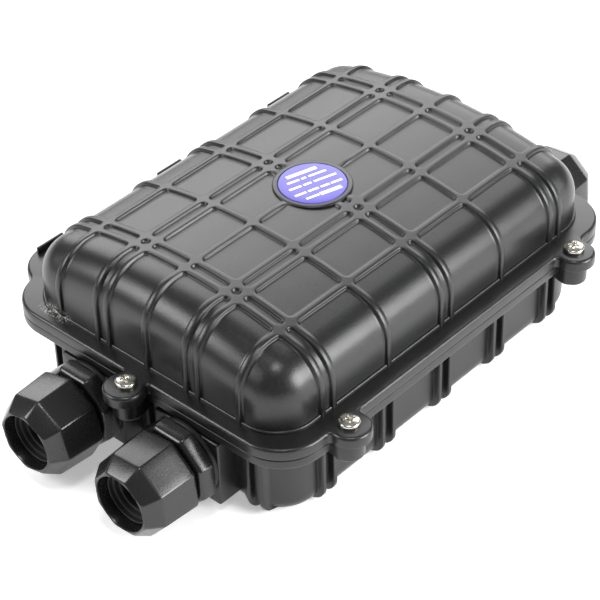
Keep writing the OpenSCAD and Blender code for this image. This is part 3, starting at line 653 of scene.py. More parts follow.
def rib_tree():
    """Raises ribs out of a smooth skin by each point's distance from a rib's tip."""
    tree, start = new_tree("Raise ribs", ("Rib height", "NodeSocketFloat", 0.0014),
                           ("Flank width", "NodeSocketFloat", 0.0009))
    rise = node(tree, "ShaderNodeMapRange", interpolation_type="SMOOTHSTEP",
                values={"From Min": 0.0, "To Min": 1.0, "To Max": 0.0},
                links={"Value": attribute(tree, RIB_DISTANCE, "FLOAT"),
                       "From Max": start.outputs["Flank width"]})
    amount = node(tree, "ShaderNodeMath", operation="MULTIPLY",
                  links={0: rise.outputs["Result"], 1: start.outputs["Rib height"]})
    offset = node(tree, "ShaderNodeVectorMath", operation="SCALE",
                  links={0: attribute(tree, RIB_PUSH, "FLOAT_VECTOR"), "Scale": amount.outputs[0]})
    moved = node(tree, "GeometryNodeSetPosition",
                 links={"Geometry": start.outputs["Geometry"], "Offset": offset.outputs[0]})
    return ended(tree, start, moved.outputs[0])


def repeat_tree():
    """Sets one piece at every point, turned by the point's own angle."""
    tree, start = new_tree("Repeat piece", ("Piece", "NodeSocketObject", None),
                           ("Scale", "NodeSocketFloat", 1.0))
    one = node(tree, "GeometryNodeObjectInfo", transform_space="ORIGINAL",
               links={"Object": start.outputs["Piece"]})
    spread = node(tree, "GeometryNodeInstanceOnPoints",
                  links={"Points": start.outputs["Geometry"], "Instance": one.outputs["Geometry"],
                         "Rotation": attribute(tree, "turn", "FLOAT_VECTOR"),
                         "Scale": start.outputs["Scale"]})
    return ended(tree, start, spread.outputs[0])


def through_nodes(mesh, tree, inputs):
    """Runs a mesh through a tree and gives the plain result."""
    holder = bpy.data.objects.new("holder", mesh)
    bpy.context.scene.collection.objects.link(holder)
    modifier = holder.modifiers.new("nodes", "NODES")
    modifier.node_group = tree
    for item in tree.interface.items_tree:
        if item.in_out == "INPUT" and item.name in inputs:
            modifier[item.identifier] = inputs[item.name]
    view = bpy.context.evaluated_depsgraph_get()
    result = bpy.data.meshes.new_from_object(holder.evaluated_get(view))
    bpy.data.objects.remove(holder)
    if not result.polygons:
        raise RuntimeError(f"{tree.name} gave no faces")
    for name in (RIB_DISTANCE, RIB_PUSH, "turn"):
        if name in result.attributes:
            result.attributes.remove(result.attributes[name])
    return result


def ribbed(skin, height, slope, finish):
    """The skin with its ribs raised."""
    tree = bpy.data.node_groups.get("Raise ribs") or rib_tree()
    return through_nodes(skin, tree, {"Rib height": height, "Flank width": slope, "Material": finish})


def repeated(single, places, material, turns=None):
    """Copies of one mesh at places in millimetres, as one plain mesh."""
    model = bpy.data.objects.new("model", single)
    spots = bpy.data.meshes.new("spots")
    spots.from_pydata([tuple(c * MM for c in p) for p in places], [], [])
    layer = spots.attributes.new("turn", "FLOAT_VECTOR", "POINT")
    turns = turns or [(0, 0, 0)] * len(places)
    layer.data.foreach_set("vector", [c for t in turns for c in t])
    tree = bpy.data.node_groups.get("Repeat piece") or repeat_tree()
    bpy.context.scene.collection.objects.link(model)
    result = through_nodes(spots, tree, {"Piece": model, "Scale": 1.0, "Material": material})
    bpy.data.objects.remove(model)
    return result


# ---------------------------------------------------------------- materials


def linear(code):
    """An sRGB hex colour as linear numbers."""
    parts = [int(code[i : i + 2], 16) / 255 for i in (1, 3, 5)]
    return tuple(c / 12.92 if c <= 0.04045 else ((c + 0.055) / 1.055) ** 2.4 for c in parts)


def new_material(name, colour, roughness, ior=1.5, metallic=0.0, **more):
    """A material with its tree and shader; more holds other inputs of the shader."""
    made = bpy.data.materials.new(name)
    made.use_nodes = True
    tree = made.node_tree
    shader = tree.nodes["Principled BSDF"]
    shader.inputs["Base Color"].default_value = (*colour, 1)
    shader.inputs["Roughness"].default_value = roughness
    shader.inputs["IOR"].default_value = ior
    shader.inputs["Metallic"].default_value = metallic
    for key, value in more.items():
        shader.inputs[key.replace("_", " ")].default_value = value
    return made, tree, shader


def grained(tree, shader, size_mm, depth, rough_low, rough_high):
    """Fine grain in the surface: bump, and a roughness that wanders with it.

    Real grain is near 0.1 mm wide. It is drawn some times coarser, because it wouldn't show.
    """
    where = node(tree, "ShaderNodeTexCoord")
    grain = node(tree, "ShaderNodeTexNoise", values={"Scale": 1 / (size_mm * MM), "Detail": 3.0},
                 links={"Vector": where.outputs["Object"]})
    wander = node(tree, "ShaderNodeMapRange", values={"To Min": rough_low, "To Max": rough_high},
                  links={"Value": grain.outputs["Fac"]})
    tree.links.new(wander.outputs["Result"], shader.inputs["Roughness"])
    bump = node(tree, "ShaderNodeBump", values={"Strength": 1.0, "Distance": depth * MM},
                links={"Height": grain.outputs["Fac"]})
    tree.links.new(bump.outputs["Normal"], shader.inputs["Normal"])
    return where, grain, bump


def shell_material(name):
    """Moulded black polypropylene from a spark-eroded tool: dark, half matt, finely grained, with painted
    glints speckled along the grain.
    """
    made, tree, shader = new_material(name, finishes().shell, 0.45)
    where, grain, bump = grained(tree, shader, 0.6, 0.055, 0.22, 0.42)
    # Slow waves of the moulded wall, tens of millimetres long
    waves = node(tree, "ShaderNodeTexNoise", values={"Scale": 1 / (28 * MM), "Detail": 1.0},
                 links={"Vector": where.outputs["Object"]})
    slow = node(tree, "ShaderNodeBump", values={"Strength": 0.6, "Distance": 0.35 * MM},
                links={"Height": waves.outputs["Fac"], "Normal": bump.outputs["Normal"]})
    tree.links.new(slow.outputs["Normal"], shader.inputs["Normal"])
    # A scuff at the front left foot: pale crumbs within a small patch
    aside = node(tree, "ShaderNodeVectorMath", operation="SUBTRACT",
                 values={1: SCUFF_PLACE}, links={0: where.outputs["Object"]})
    shaped = node(tree, "ShaderNodeVectorMath", operation="MULTIPLY", values={1: (0.5, 1.5, 1.0)},
                  links={0: aside.outputs[0]})
    near = node(tree, "ShaderNodeVectorMath", operation="LENGTH", links={0: shaped.outputs[0]})
    patch = node(tree, "ShaderNodeMapRange", interpolation_type="SMOOTHSTEP",
                 values={"From Min": 0.0015, "From Max": 0.0062, "To Min": 1.0, "To Max": 0.0},
                 links={"Value": near.outputs["Value"]})
    crumbs = node(tree, "ShaderNodeTexNoise", values={"Scale": 1 / (0.9 * MM), "Detail": 4.0},
                  links={"Vector": where.outputs["Object"]})
    picked = node(tree, "ShaderNodeMapRange", values={"From Min": 0.5, "From Max": 0.62},
                  links={"Value": crumbs.outputs["Fac"]})
    mask = node(tree, "ShaderNodeMath", operation="MULTIPLY",
                links={0: patch.outputs["Result"], 1: picked.outputs["Result"]})
    # Speckle that follows the grain: painted glints off the grain's tips, which lighten the black a little
    grain_glint_speck = node(tree, "ShaderNodeMapRange",
                 values={"From Min": 0.45, "From Max": 0.75, "To Min": 0.85, "To Max": 1.7},
                 links={"Value": grain.outputs["Fac"]})
    glint_speckled_tone = node(tree, "ShaderNodeVectorMath", operation="SCALE", values={0: tuple(finishes().shell)},
                links={"Scale": grain_glint_speck.outputs["Result"]})
    colour = node(tree, "ShaderNodeMix", data_type="RGBA", values={7: (*linear("#b9b9b4"), 1)},
                  links={0: mask.outputs[0], 6: glint_speckled_tone.outputs[0]})
    tree.links.new(colour.outputs[2], shader.inputs["Base Color"])
    return made


def gland_material(name):
    """Moulded black nylon: slightly glossier than the shell."""
    made, tree, shader = new_material(name, finishes().gland, 0.38, 1.53)
    grained(tree, shader, 0.6, 0.015, 0.2, 0.32)
    return made


def label_material(name):
    """Printed vinyl film: blue-violet ground with plain white bars."""
    made, tree, shader = new_material(name, tuple(finishes().label), 0.32)
    where = node(tree, "ShaderNodeTexCoord")
    turned = node(tree, "ShaderNodeMapping", vector_type="TEXTURE",
                  values={"Rotation": (0, 0, math.radians(PRINT_TURN))},
                  links={"Vector": where.outputs["Object"]})
    masks = []
    for along, across, half_l, half_w in LABEL_BARS:
        shifted = node(tree, "ShaderNodeVectorMath", operation="SUBTRACT",
                       values={1: (along * MM, across * MM, 0)}, links={0: turned.outputs[0]})
        size = node(tree, "ShaderNodeVectorMath", operation="ABSOLUTE", links={0: shifted.outputs[0]})
        parts = node(tree, "ShaderNodeSeparateXYZ", links={0: size.outputs[0]})
        inside_l = node(tree, "ShaderNodeMath", operation="LESS_THAN", values={1: half_l * MM},
                        links={0: parts.outputs["X"]})
        inside_w = node(tree, "ShaderNodeMath", operation="LESS_THAN", values={1: half_w * MM},
                        links={0: parts.outputs["Y"]})
        masks.append(node(tree, "ShaderNodeMath", operation="MULTIPLY",
                          links={0: inside_l.outputs[0], 1: inside_w.outputs[0]}))
    total = masks[0]
    for mask in masks[1:]:
        total = node(tree, "ShaderNodeMath", operation="MAXIMUM",
                     links={0: total.outputs[0], 1: mask.outputs[0]})
    colour = node(tree, "ShaderNodeMix", data_type="RGBA",
                  values={6: (*finishes().label, 1), 7: (*linear("#f2f2f4"), 1)},
                  links={0: total.outputs[0]})
    tree.links.new(colour.outputs[2], shader.inputs["Base Color"])
    return made


# Plain finishes: sRGB colour, roughness and its spread, grain size and depth in millimetres, and
# what else the shader takes
PLAIN_FINISHES = {
    # Yellow metal, softly streaked by the lathe
    "Turned brass": ("#b8985a", 0.3, 0.06, 0.5, 0.008, {"metallic": 1.0}),
    # Bright plating on stamped steel, slightly warm, with soft highlights
    "Nickel-plated steel": ("#cfcdc4", 0.24, 0.07, 0.8, 0.01, {"metallic": 1.0}),
    # Cool grey plating with duller highlights
    "Zinc-plated steel": ("#b4b8bc", 0.32, 0.08, 0.7, 0.01, {"metallic": 1.0}),
    # Deep black and matt, as it leaves the mould
    "Moulded rubber": ("#161616", 0.62, 0.08, 0.4, 0.02, {"ior": 1.52}),
    # Dark grey and matt, softer than the seals
    "Soft gasket rubber": ("#2a2b2d", 0.7, 0.06, 0.5, 0.02, {}),
    # Off-white moulding with a satin face
    "Moulded pale ABS": ("#d9d8d0", 0.42, 0.05, 0.8, 0.01, {}),
    # Dark blue moulding with a satin face
    "Moulded blue ABS": ("#2b3a5c", 0.4, 0.05, 0.8, 0.01, {}),
    # Fibres near the face leave the black nylon dry
    "Glass-filled nylon": ("#222324", 0.5, 0.08, 0.7, 0.02, {}),
    # See-through extruded sheet with a smooth face
    "Clear polycarbonate sheet": ("#e8eef0", 0.12, 0.03, 3.0, 0.01,
                                  {"ior": 1.58, "Transmission_Weight": 0.85}),
}
SHELL_FINISH, GLAND_FINISH, LABEL_FINISH = (
    "Moulded black polypropylene", "Moulded black nylon", "Printed vinyl film")
MAKERS = {SHELL_FINISH: shell_material, GLAND_FINISH: gland_material, LABEL_FINISH: label_material}


def material(name):
    """The named material, made when it is first asked for."""
    made = bpy.data.materials.get(name)
    if made:
        return made
    if name in MAKERS:
        return MAKERS[name](name)
    code, roughness, spread, grain_mm, depth, more = PLAIN_FINISHES[name]
    made, tree, shader = new_material(name, linear(code), roughness, **more)
    grained(tree, shader, grain_mm, depth, roughness - spread, roughness + spread)
    return made


# ---------------------------------------------------------------- operators


class ClosureLid(bpy.types.Operator):
    """Lid shell: crowned ribbed dome, flange with ears and lobes, and the label's ring"""

    bl_idname = "closure.lid_shell"
    bl_label = "Lid shell"

    def execute(self, context):
        sizes = shell_sizes()
        shell = material(SHELL_FINISH)
        skin = ribbed(lid_skin(sizes), sizes.lid_rib_height, sizes.lid_rib_slope, shell)
        outline = traced(blended([
            block_distance(FLANGE_X, FLANGE_Y, FLANGE_R),
            *[disc_distance(ear, EAR_R) for ear in EARS if ear[0] >= 0],
            *[disc_distance(lobe, LOBE_R) for lobe in LOBES]], 2.4), (FLANGE_X, 0), 0.8)
        cavity = rounded_outline(LID_CORE_X + LID_R - WALL, LID_CORE_Y + LID_R - WALL, LID_R - WALL)
        flange = plate("flange", outline, PART_Z + 0.12, FLANGE_TOP, 0.35, sizes.flange_round / MM, [cavity])
        foot = rounded_outline(LID_CORE_X + LID_R + 1.0, LID_CORE_Y + LID_R + 1.0, LID_R + 1.0)
        inside = rounded_outline(LID_CORE_X + LID_R - 1, LID_CORE_Y + LID_R - 1, LID_R - 1)
        bead = plate("bead", foot, FLANGE_TOP - 0.6, FLANGE_TOP + 1.5, 0, 0.7, [inside])
        seat = plate("seat", rounded_outline(LID_CORE_X + LID_R + 4, LID_CORE_Y + LID_R + 4, LID_R + 4),
                     PART_Z, PART_Z + 1.0, 0, 0, [cavity])
        ring = label_ring()
        lips = [lobe_lip(y) for _, y in LOBES]
        mesh = joined("lid shell", [skin, flange, bead, seat, ring, *lips])
        piece("lid_shell_skin", mesh, shell, "lid", ["lid_shell"], 40)
        return {"FINISHED"}


def label_ring():
    """Flat collar round the label, standing a little above the lid."""
    profile = [(17.5, 82.6), (17.5, 84.95), (17.2, 85.3), (16.8, 85.42), (15.4, 85.42), (15.15, 85.2),
               (15.15, 82.6)]
    return round_tube("ring", profile, 96)


def lobe_lip(y):
    """Low lip on the rim of a left lobe."""
    outline = rounded_outline(0.8, 7.7, 0.7, 5) + np.array([-93.3, y + 3.3])
    return plate("lip", outline, FLANGE_TOP - 0.8, FLANGE_TOP + 2.9, 0, 0.6)


class ClosureBase(bpy.types.Operator):
    """Base shell: ribbed tub, flange with a groove, gland pads and screw bosses"""

    bl_idname = "closure.base_shell"
    bl_label = "Base shell"

    def execute(self, context):
        sizes = shell_sizes()
        shell = material(SHELL_FINISH)
        tub = ribbed(base_skin(sizes), sizes.base_rib_height, sizes.base_rib_slope, shell)
        cavity = rounded_outline(BASE_CORE_X + BASE_R - WALL, BASE_CORE_Y + BASE_R - WALL, BASE_R - WALL)
        groove_in = rounded_outline(GROOVE_X, GROOVE_Y, GROOVE_R)
        groove_out = rounded_outline(GROOVE_X + GROOVE_WIDE, GROOVE_Y + GROOVE_WIDE, GROOVE_R + GROOVE_WIDE)
        edge = rounded_outline(FLANGE_X, FLANGE_Y, FLANGE_R, 18)
        low = FLANGE_LOW
        outer = plate("outer", edge, low, PART_Z - 0.12, 0.9, 0.3, [groove_out])
        inner = plate("inner", groove_in, low, PART_Z - 0.12, 0, 0, [cavity])
        floor = plate("floor", groove_out, low, PART_Z - 2.5, 0, 0, [groove_in])
        parts = [outer, inner, floor]
        parts += [screw_boss(x, y) for x, y in SCREWS]
        parts += [tray_boss(x, y) for x in (-TRAY_POST_X, TRAY_POST_X)
                  for y in (-TRAY_POST_Y, TRAY_POST_Y)]
        body = joined("base shell", parts)
        pads = [gland_pad(sx, sy) for _, sx, sy in GLANDS]
        body = joined("base shell", [body, *pads, bored(tub)])
        piece("base_shell_skin", body, shell, "base", ["base_shell"], 40)
        return {"FINISHED"}


def bored(tub):
    """The tub with a round way through each end wall for the glands."""
    bars = [round_bar(sx * GLAND_X, sy * 90, sy * 112, GLAND_Z, WALL_BORE_R) for _, sx, sy in GLANDS]
    tool = bpy.data.objects.new("tool", joined("tool", bars))
    body = bpy.data.objects.new("tub", outward(tub))
    for thing in (tool, body):
        bpy.context.scene.collection.objects.link(thing)
    cut = body.modifiers.new("cut", "BOOLEAN")
    cut.operation = "DIFFERENCE"
    cut.solver = "EXACT"
    cut.object = tool
    result = bpy.data.meshes.new_from_object(body.evaluated_get(bpy.context.evaluated_depsgraph_get()))
    bpy.data.objects.remove(tool)
    bpy.data.objects.remove(body)
    return result


def round_bar(x, y0, y1, z, radius, count=64):
    """A plain cylinder along Y."""
    a = np.linspace(0, 2 * math.pi, count, endpoint=False)
    rings = [np.column_stack([x + radius * np.cos(a), np.full(count, y), z + radius * np.sin(a)])
             for y in (y0, y1)]
    return plain_mesh("bar", *stacked(rings))


def screw_boss(x, y):
    """Half-round boss under an ear, run back to the wall."""
    radius, web = 6.4, 5.6
    outline_step = 0.6
    if abs(x) > 1:
        back, far = (math.copysign(72, x), y), (x + math.copysign(radius, x), y)
        half = (abs(x - back[0]) / 2 + 0.5, web)
    else:
        back, far = (0, math.copysign(100, y)), (x, y + math.copysign(radius, y))
        half = (web, abs(y - back[1]) / 2 + 0.5)
    middle = ((x + back[0]) / 2, (y + back[1]) / 2)
    shape = blended([disc_distance((x, y), radius), block_distance(*half, 0.5, middle)], 3.0)
    return plate("boss", traced(shape, far, outline_step), PART_Z - 10.0, PART_Z - 1.2, 1.3, 0.4)


def tray_boss(x, y):
    """Low round boss that carries a tray post."""
    outline = round_rings([(6, 0)], 40)[0][:, :2] + np.array([x, y])
    return plate("tray boss", outline, 2.5, 10.0, 0, 0.6)


def gland_pad(sx, sy):
    """Flat raised pad behind a gland, bored for its thread."""
    outline = rounded_outline(18, 16.6, 1.2, 4)
    middle_z = 20.3
    hole = round_rings([(PAD_BORE_R, 0)], 64)[0][:, :2] + np.array([0, GLAND_Z - middle_z])
    pad = plate("pad", outline, 98.5, 110.5, 0, 0.9, [hole])
    # Plate's own x, y, z become the closure's x, z and distance along y
    turn = Matrix(((1, 0, 0, sx * GLAND_X * MM), (0, 0, sy, 0), (0, 1, 0, middle_z * MM), (0, 0, 0, 1)))
    pad.transform(turn)
    return pad


class ClosureScrews(bpy.types.Operator):
    """Lid screws: nickel-plated pan heads with a cross recess, and their brass inserts"""

    bl_idname = "closure.screws"
    bl_label = "Lid screws and inserts"

    def execute(self, context):
        nickel = material("Nickel-plated steel")
        brass = material("Turned brass")
        turns = [(0, 0, math.radians(a)) for a in (20, 62, 35, 75, 8, 48)]
        places = [(x, y, FLANGE_TOP) for x, y in SCREWS]
        heads = repeated(pan_screw(), places, nickel, turns)
        piece("lid_screw_set", outward(heads), nickel, "lid", ["lid_screws"], 35)
        bushes = repeated(insert_bush(), [(x, y, PART_Z - 9.0) for x, y in SCREWS], brass)
        piece("screw_insert_set", outward(bushes), brass, "base", ["screw_inserts"], 30)
        return {"FINISHED"}


def pan_screw():
    """One screw: low domed head with a cross recess over a threaded shank."""
    count = 72
    a = np.linspace(0, 2 * math.pi, count, endpoint=False)
    radii = [0.0, 0.4, 0.8, 1.2, 1.6, 2.0, 2.3, 2.6, 3.0, 3.4, 3.8, 4.15, 4.4, 4.55, 4.6]
    rim_drop = {4.4: 0.1, 4.55: 0.35, 4.6: 0.9}
    rings = []
    for r in radii[::-1]:
        x, y = r * np.cos(a), r * np.sin(a)
        dome = 2.9 - (r / 4.6) ** 2 - rim_drop.get(r, 0)
        arm = np.minimum(np.abs(x), np.abs(y))
        reach = np.maximum(np.abs(x), np.abs(y))
        cut = np.clip((0.62 - arm) / 0.3, 0, 1) * np.clip((2.55 - reach) / 0.3, 0, 1)
        bowl = np.clip((1.3 - np.hypot(x, y)) / 0.5, 0, 1)
        depth = 1.6 * np.maximum(cut, bowl)
        rings.append(np.column_stack([x, y, dome - depth]))
    flank = [(4.6, 0.25), (4.45, 0.02), (2.6, 0.0)]
    pitch = 0.8
    levels = np.arange(-0.6, -13.2, -pitch / 2)
    flank += [(2.5 if i % 2 else 2.12, z) for i, z in enumerate(levels)]
    flank += [(1.9, -13.7), (0.0, -13.9)]
    rings = rings[::-1] + round_rings(flank, count)
    return outward(plain_mesh("screw", *stacked(rings, caps=(False, False))))


def insert_bush():
    """Brass insert of a lid screw, with a groove round its middle."""
    profile = [(2.55, 0.0), (3.78, 0.0), (3.78, 3.2), (3.5, 3.5), (3.5, 4.3), (3.78, 4.6), (3.78, 7.5),
               (3.6, 7.75), (2.75, 7.75), (2.55, 7.5)]
    return outward(round_tube("bush", profile, 48))


class ClosureGlands(bpy.types.Operator):
    """Cable glands: bodies, washers, seals and cap nuts at both ends"""

    bl_idname = "closure.glands"
    bl_label = "Cable glands"

    def execute(self, context):
        nylon = material(GLAND_FINISH)
        rubber = material("Moulded rubber")
        for name, sx, sy in GLANDS:
            turn = CAP_TURN_LEFT if sx < 0 else CAP_TURN_RIGHT
            kinds = (
                ("gland_body", "moulding", [gland_body(), body_step()], nylon, "base", "gland", 30),
                ("gland_washer", "ring", [washer()], rubber, "base", "seal", 30),
                ("gland_seal", "bush", [seal()], rubber, "base", "seal", 30),
                ("gland_cap_nut", "moulding", [cap_nut(turn)], nylon, f"cap_nut_{name}", "gland", 28),
            )
            for kind, form, meshes, finish, body, slot, sharp in kinds:
                mesh = joined(kind, [placed(mesh, name, sy) for mesh in meshes])
                piece(f"{kind}_{name}_{form}", mesh, finish, body, [f"{kind}_{name}"], sharp)
        return {"FINISHED"}


def placed(mesh, name, sy):
    """A gland piece drawn along +Z, moved to its axis in an end wall."""
    low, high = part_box("gland_body_" + name)
    x, z = (low.x + high.x) / 2, (low.z + high.z) / 2
    mesh.transform(Matrix(((1, 0, 0, x), (0, 0, sy, 0), (0, 1, 0, z), (0, 0, 0, 1))))
    return mesh


def eight_sided(across, rounding, turn, per_corner=5, per_side=4):
    """Outline of an eight-sided section with rounded corners; 0 degrees points up."""
    corner = across / 2 * math.cos(math.pi / 8)
    reach = rounding * math.tan(math.pi / 8)
    side = corner * math.tan(math.pi / 8)
    points = []
    for k in range(8):
        middle = math.radians(turn + 22.5 + 45 * k)
        out = np.array([math.sin(middle), math.cos(middle)])
        along = np.array([math.cos(middle), -math.sin(middle)])
        for i in range(per_side + 1):
            points.append(out * corner + along * (side - reach) * (2 * i / per_side - 1))
        centre = out * (corner - rounding) + along * (side - reach)
        for i in range(1, per_corner):
            a = middle + math.radians(45) * i / per_corner
            points.append(centre + rounding * np.array([math.sin(a), math.cos(a)]))
    return np.array(points)


def tube_of(sections, turn):
    """A ring-shaped solid from (height, eight-sided size or round radius, rounding) sections."""
    guide = eight_sided(40, 3, turn)
    angle = np.arctan2(guide[:, 0], guide[:, 1])
    rings = []
    for height, size, rounding in sections:
        if rounding is None:
            flat = np.column_stack([size * np.sin(angle), size * np.cos(angle)])
        else:
            flat = eight_sided(size, rounding, turn)
        rings.append(np.column_stack([flat, np.full(len(flat), height)]))
    return plain_mesh("tube", *stacked(rings, closed_tube=True))


def thread(start, step, count, first, second):
    """Sections of a thread drawn as plain rings, half a pitch apart."""
    return [(start + step * k, second if k % 2 else first, None) for k in range(count)]


def cap_nut(turn):
    """Eight-sided cap nut: rounded arrises, faceted nose and a thread inside.

    A gland's heights are distances outwards from the closure's middle.
    """
    start, shoulder, nose = 123.0, 142.5, 149.5
    sections = [
        (start, 36.5, 3.0), (start + 0.15, 38.0, 3.0), (start + 0.6, 39.6, 2.4), (start + 1.3, 40.6, 1.8),
        (start + 2.2, 41.0, 1.5), (shoulder - 1.2, 39.25, 1.5), (shoulder - 0.3, 39.0, 1.8),
        (shoulder + 0.4, 38.4, 2.0), (nose - 1.0, 31.2, 3.0), (nose - 0.3, 30.0, 3.4), (nose, 28.8, 4.0),
        (nose, 13.5, None), (nose - 0.25, 13.1, None), (nose - 0.8, 12.9, None), (141.2, 12.9, None),
        (141.0, 16.5, None),
    ]
    sections += thread(140.6, -1, 16, 16.9, 16.55)
    sections += [(123.8, 16.6, None), (123.3, 17.0, None), (123.0, 17.3, None)]
    return tube_of(sections, turn)


def gland_body():
    """Collar and inner thread of a gland."""
    sections = [
        (112.5, 34.0, 3.0), (112.55, 36.6, 3.0), (112.9, 38.2, 2.6), (113.6, 40.0, 2.0), (114.6, 40.6, 1.6),
        (119.6, 40.0, 1.6), (120.6, 39.0, 2.2), (121.2, 37.6, 3.0), (121.5, 35.6, 3.4),
        (121.5, 15.1, None), (123.2, 15.1, None), (124.4, 15.3, None), (124.6, 16.5, None),
    ]
    sections += thread(125.0, 1, 14, 16.1, 16.5)
    sections += [(139.2, 16.3, None), (139.5, 15.9, None), (139.5, 13.0, None), (126.0, 13.0, None),
                 (126.0, 9.9, None), (89.2, 9.9, None), (89.0, 10.2, None)]
    sections += thread(89.6, 1, 23, 12.1, 12.5)
    sections += [(112.4, 12.3, None)]
    return tube_of(sections, 22.5)


def body_step():
    """Small step round the inner end of a gland body."""
    return round_tube("step", [(10.4, 89.1), (12.0, 89.1), (12.0, 89.6), (10.4, 89.6)], 64)


def washer():
    """Rubber washer between a gland's collar and its pad."""
    profile = [(12.6, 110.5), (17.7, 110.5), (18.0, 110.9), (18.0, 112.1), (17.7, 112.5), (12.6, 112.5)]
    return round_tube("washer", profile, 80)


def seal():
    """Rubber bush with stepped rings in its mouth."""
    profile = [(9.0, 126.0), (13.0, 126.0), (13.0, 140.5), (12.3, 140.5), (12.3, 144.2), (12.1, 144.5),
               (11.6, 144.5), (11.4, 144.3), (11.4, 142.6), (10.3, 142.4), (10.2, 142.2), (10.2, 140.6),
               (9.15, 140.4), (9.0, 140.2)]
    return round_tube("seal", profile, 80)


class ClosureLabel(bpy.types.Operator):
    """Round label: printed film disc in the lid's ring"""

    bl_idname = "closure.label"
    bl_label = "Label"

    def execute(self, context):
        film = material(LABEL_FINISH)
        profile = [(14.9, 84.9), (14.98, 85.3), (14.9, 85.45), (14.6, 85.55), (10.0, 85.58), (5.0, 85.6)]
        disc = outward(plain_mesh("label", *stacked(round_rings(profile, 96))))
        piece("label_film", disc, film, "lid", ["label_disc"], 50)
        return {"FINISHED"}


class ClosureInside(bpy.types.Operator):
    """Finishes of the pieces inside: gasket, lock nuts, trays, holders, posts and clamps"""

    bl_idname = "closure.inside"
    bl_label = "Inside pieces"

    def execute(self, context):
        finish_of = {
            "lid_gasket": "Soft gasket rubber",
            "gland_lock_nut": GLAND_FINISH,
            "tray_posts": "Turned brass",
            "splice_tray": "Moulded pale ABS",
            "splice_holder": "Moulded blue ABS",
            "tray_cover": "Clear polycarbonate sheet",
            "tray_screws": "Zinc-plated steel",
            "clamp_screws": "Zinc-plated steel",
            "clamp": "Glass-filled nylon",
        }
        for name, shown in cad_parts.items():
            for start, finish in finish_of.items():
                if name.startswith(start):
                    shown.data.materials.clear()
                    shown.data.materials.append(material(finish))
                    break
        return {"FINISHED"}


# Stage, in metres; each light has its name, place, size and watts
FLOOR_HALF, FLOOR_GLOW, WORLD_LIGHT = 6.0, 0.38, 0.22
LIGHTS = [
    ("back box", (-0.8, 0.9, 0.85), (1.9, 1.1), 27),
    ("right box", (1.25, 0.45, 0.6), (0.9, 0.8), 34),
    ("front box", (-0.75, -0.95, 0.85), (0.7, 0.6), 13),
    ("top", (0.3, -0.35, 1.8), (0.35, 0.35), 9),
]
LIGHTS_AIM = (0, 0, 0.04)
CAMERA_PLACE = (0.49975, -0.54152, 0.60728)
# Camera's way in degrees: round from the front, down from level, and its lean
CAMERA_ROUND, CAMERA_DOWN, CAMERA_LEAN = 43.25, 38.48, -1.87


class ClosureStage(bpy.types.Operator):
    """Pale floor, soft lights and the camera"""

    bl_idname = "closure.stage"
    bl_label = "Stage"

    def execute(self, context):
        floor_mesh = bpy.data.meshes.new("floor")
        corners = [(x * FLOOR_HALF, y * FLOOR_HALF, 0) for x, y in ((-1, -1), (1, -1), (1, 1), (-1, 1))]
        floor_mesh.from_pydata(corners, [], [(0, 1, 2, 3)])
        floor = bpy.data.objects.new("floor", floor_mesh)
        # Painted board: white and matt, lit a little by itself so that no edge shows
        pale, _, _ = new_material("Pale studio floor", linear("#f6f6f6"), 0.9,
                                  Emission_Color=(1, 1, 1, 1), Emission_Strength=FLOOR_GLOW)
        floor_mesh.materials.append(pale)
        bpy.context.scene.collection.objects.link(floor)
        world = bpy.data.worlds.new("Studio")
        world.use_nodes = True
        world.node_tree.nodes["Background"].inputs[0].default_value = (1, 1, 1, 1)
        world.node_tree.nodes["Background"].inputs[1].default_value = WORLD_LIGHT
        context.scene.world = world
        for light in LIGHTS:
            add_light(*light)
        context.scene.view_settings.view_transform = "Standard"
        add_camera(context)
        return {"FINISHED"}


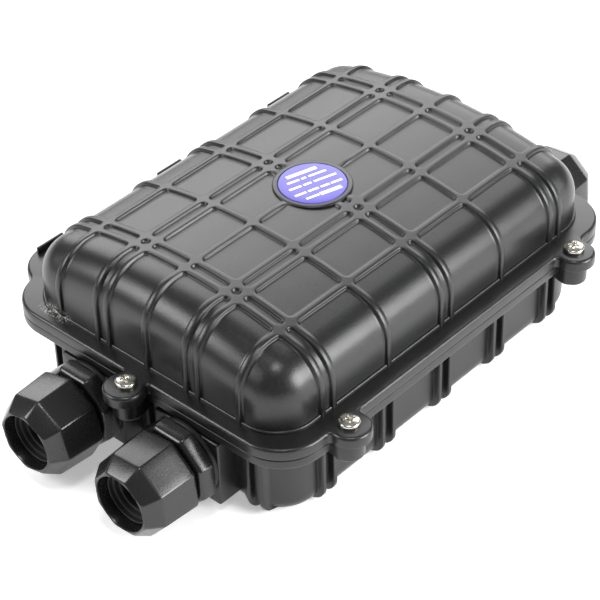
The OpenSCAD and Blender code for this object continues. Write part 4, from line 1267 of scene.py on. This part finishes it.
def add_light(name, place, size, watts):
    """A soft rectangular light turned to the closure."""
    data = bpy.data.lights.new(name, "AREA")
    data.shape = "RECTANGLE"
    data.size, data.size_y = size
    data.energy = watts
    light = bpy.data.objects.new(name, data)
    light.location = place
    light.rotation_mode = "QUATERNION"
    light.rotation_quaternion = (Vector(LIGHTS_AIM) - Vector(place)).to_track_quat("-Z", "Y")
    bpy.context.scene.collection.objects.link(light)


def add_camera(context):
    """A long lens from the front right, held a little off level."""
    data = bpy.data.cameras.new("camera")
    data.lens, data.sensor_width = 126.05, 36.0
    data.clip_start, data.clip_end = 0.05, 20
    camera = bpy.data.objects.new("camera", data)
    camera.location = CAMERA_PLACE
    turn = (Matrix.Rotation(math.radians(CAMERA_ROUND), 3, "Z")
            @ Matrix.Rotation(math.radians(90 - CAMERA_DOWN), 3, "X")
            @ Matrix.Rotation(math.radians(CAMERA_LEAN), 3, "Z"))
    camera.rotation_mode = "QUATERNION"
    camera.rotation_quaternion = turn.to_quaternion()
    context.scene.collection.objects.link(camera)
    context.scene.camera = camera


class ClosurePanel(bpy.types.Panel):
    """Lists the closure's pieces"""

    bl_idname = "VIEW3D_PT_closure"
    bl_label = "Fibre splice closure"
    bl_space_type = "VIEW_3D"
    bl_region_type = "UI"
    bl_category = "Closure"

    def draw(self, context):
        for group in (shell_sizes(), finishes()):
            for name in group.bl_rna.properties.keys():
                if name not in ("rna_type", "name"):
                    self.layout.prop(group, name)
        for operator in OPERATORS:
            self.layout.operator(operator.bl_idname)


GROUPS = [(SHELL_KEY, ClosureShellSizes), (FINISH_KEY, ClosureFinishes)]
OPERATORS = [ClosureLid, ClosureBase, ClosureScrews, ClosureGlands, ClosureLabel, ClosureInside, ClosureStage]


def register():
    for key, group in GROUPS:
        bpy.utils.register_class(group)
        setattr(bpy.types.Scene, key, bpy.props.PointerProperty(type=group))
    for made in (*OPERATORS, ClosurePanel):
        bpy.utils.register_class(made)


def unregister():
    for made in (ClosurePanel, *reversed(OPERATORS)):
        bpy.utils.unregister_class(made)
    for key, group in reversed(GROUPS):
        delattr(bpy.types.Scene, key)
        bpy.utils.unregister_class(group)


def main():
    register()
    for operator in OPERATORS:
        area, name = operator.bl_idname.split(".")
        getattr(getattr(bpy.ops, area), name)()


if __name__ == "__main__":
    main()
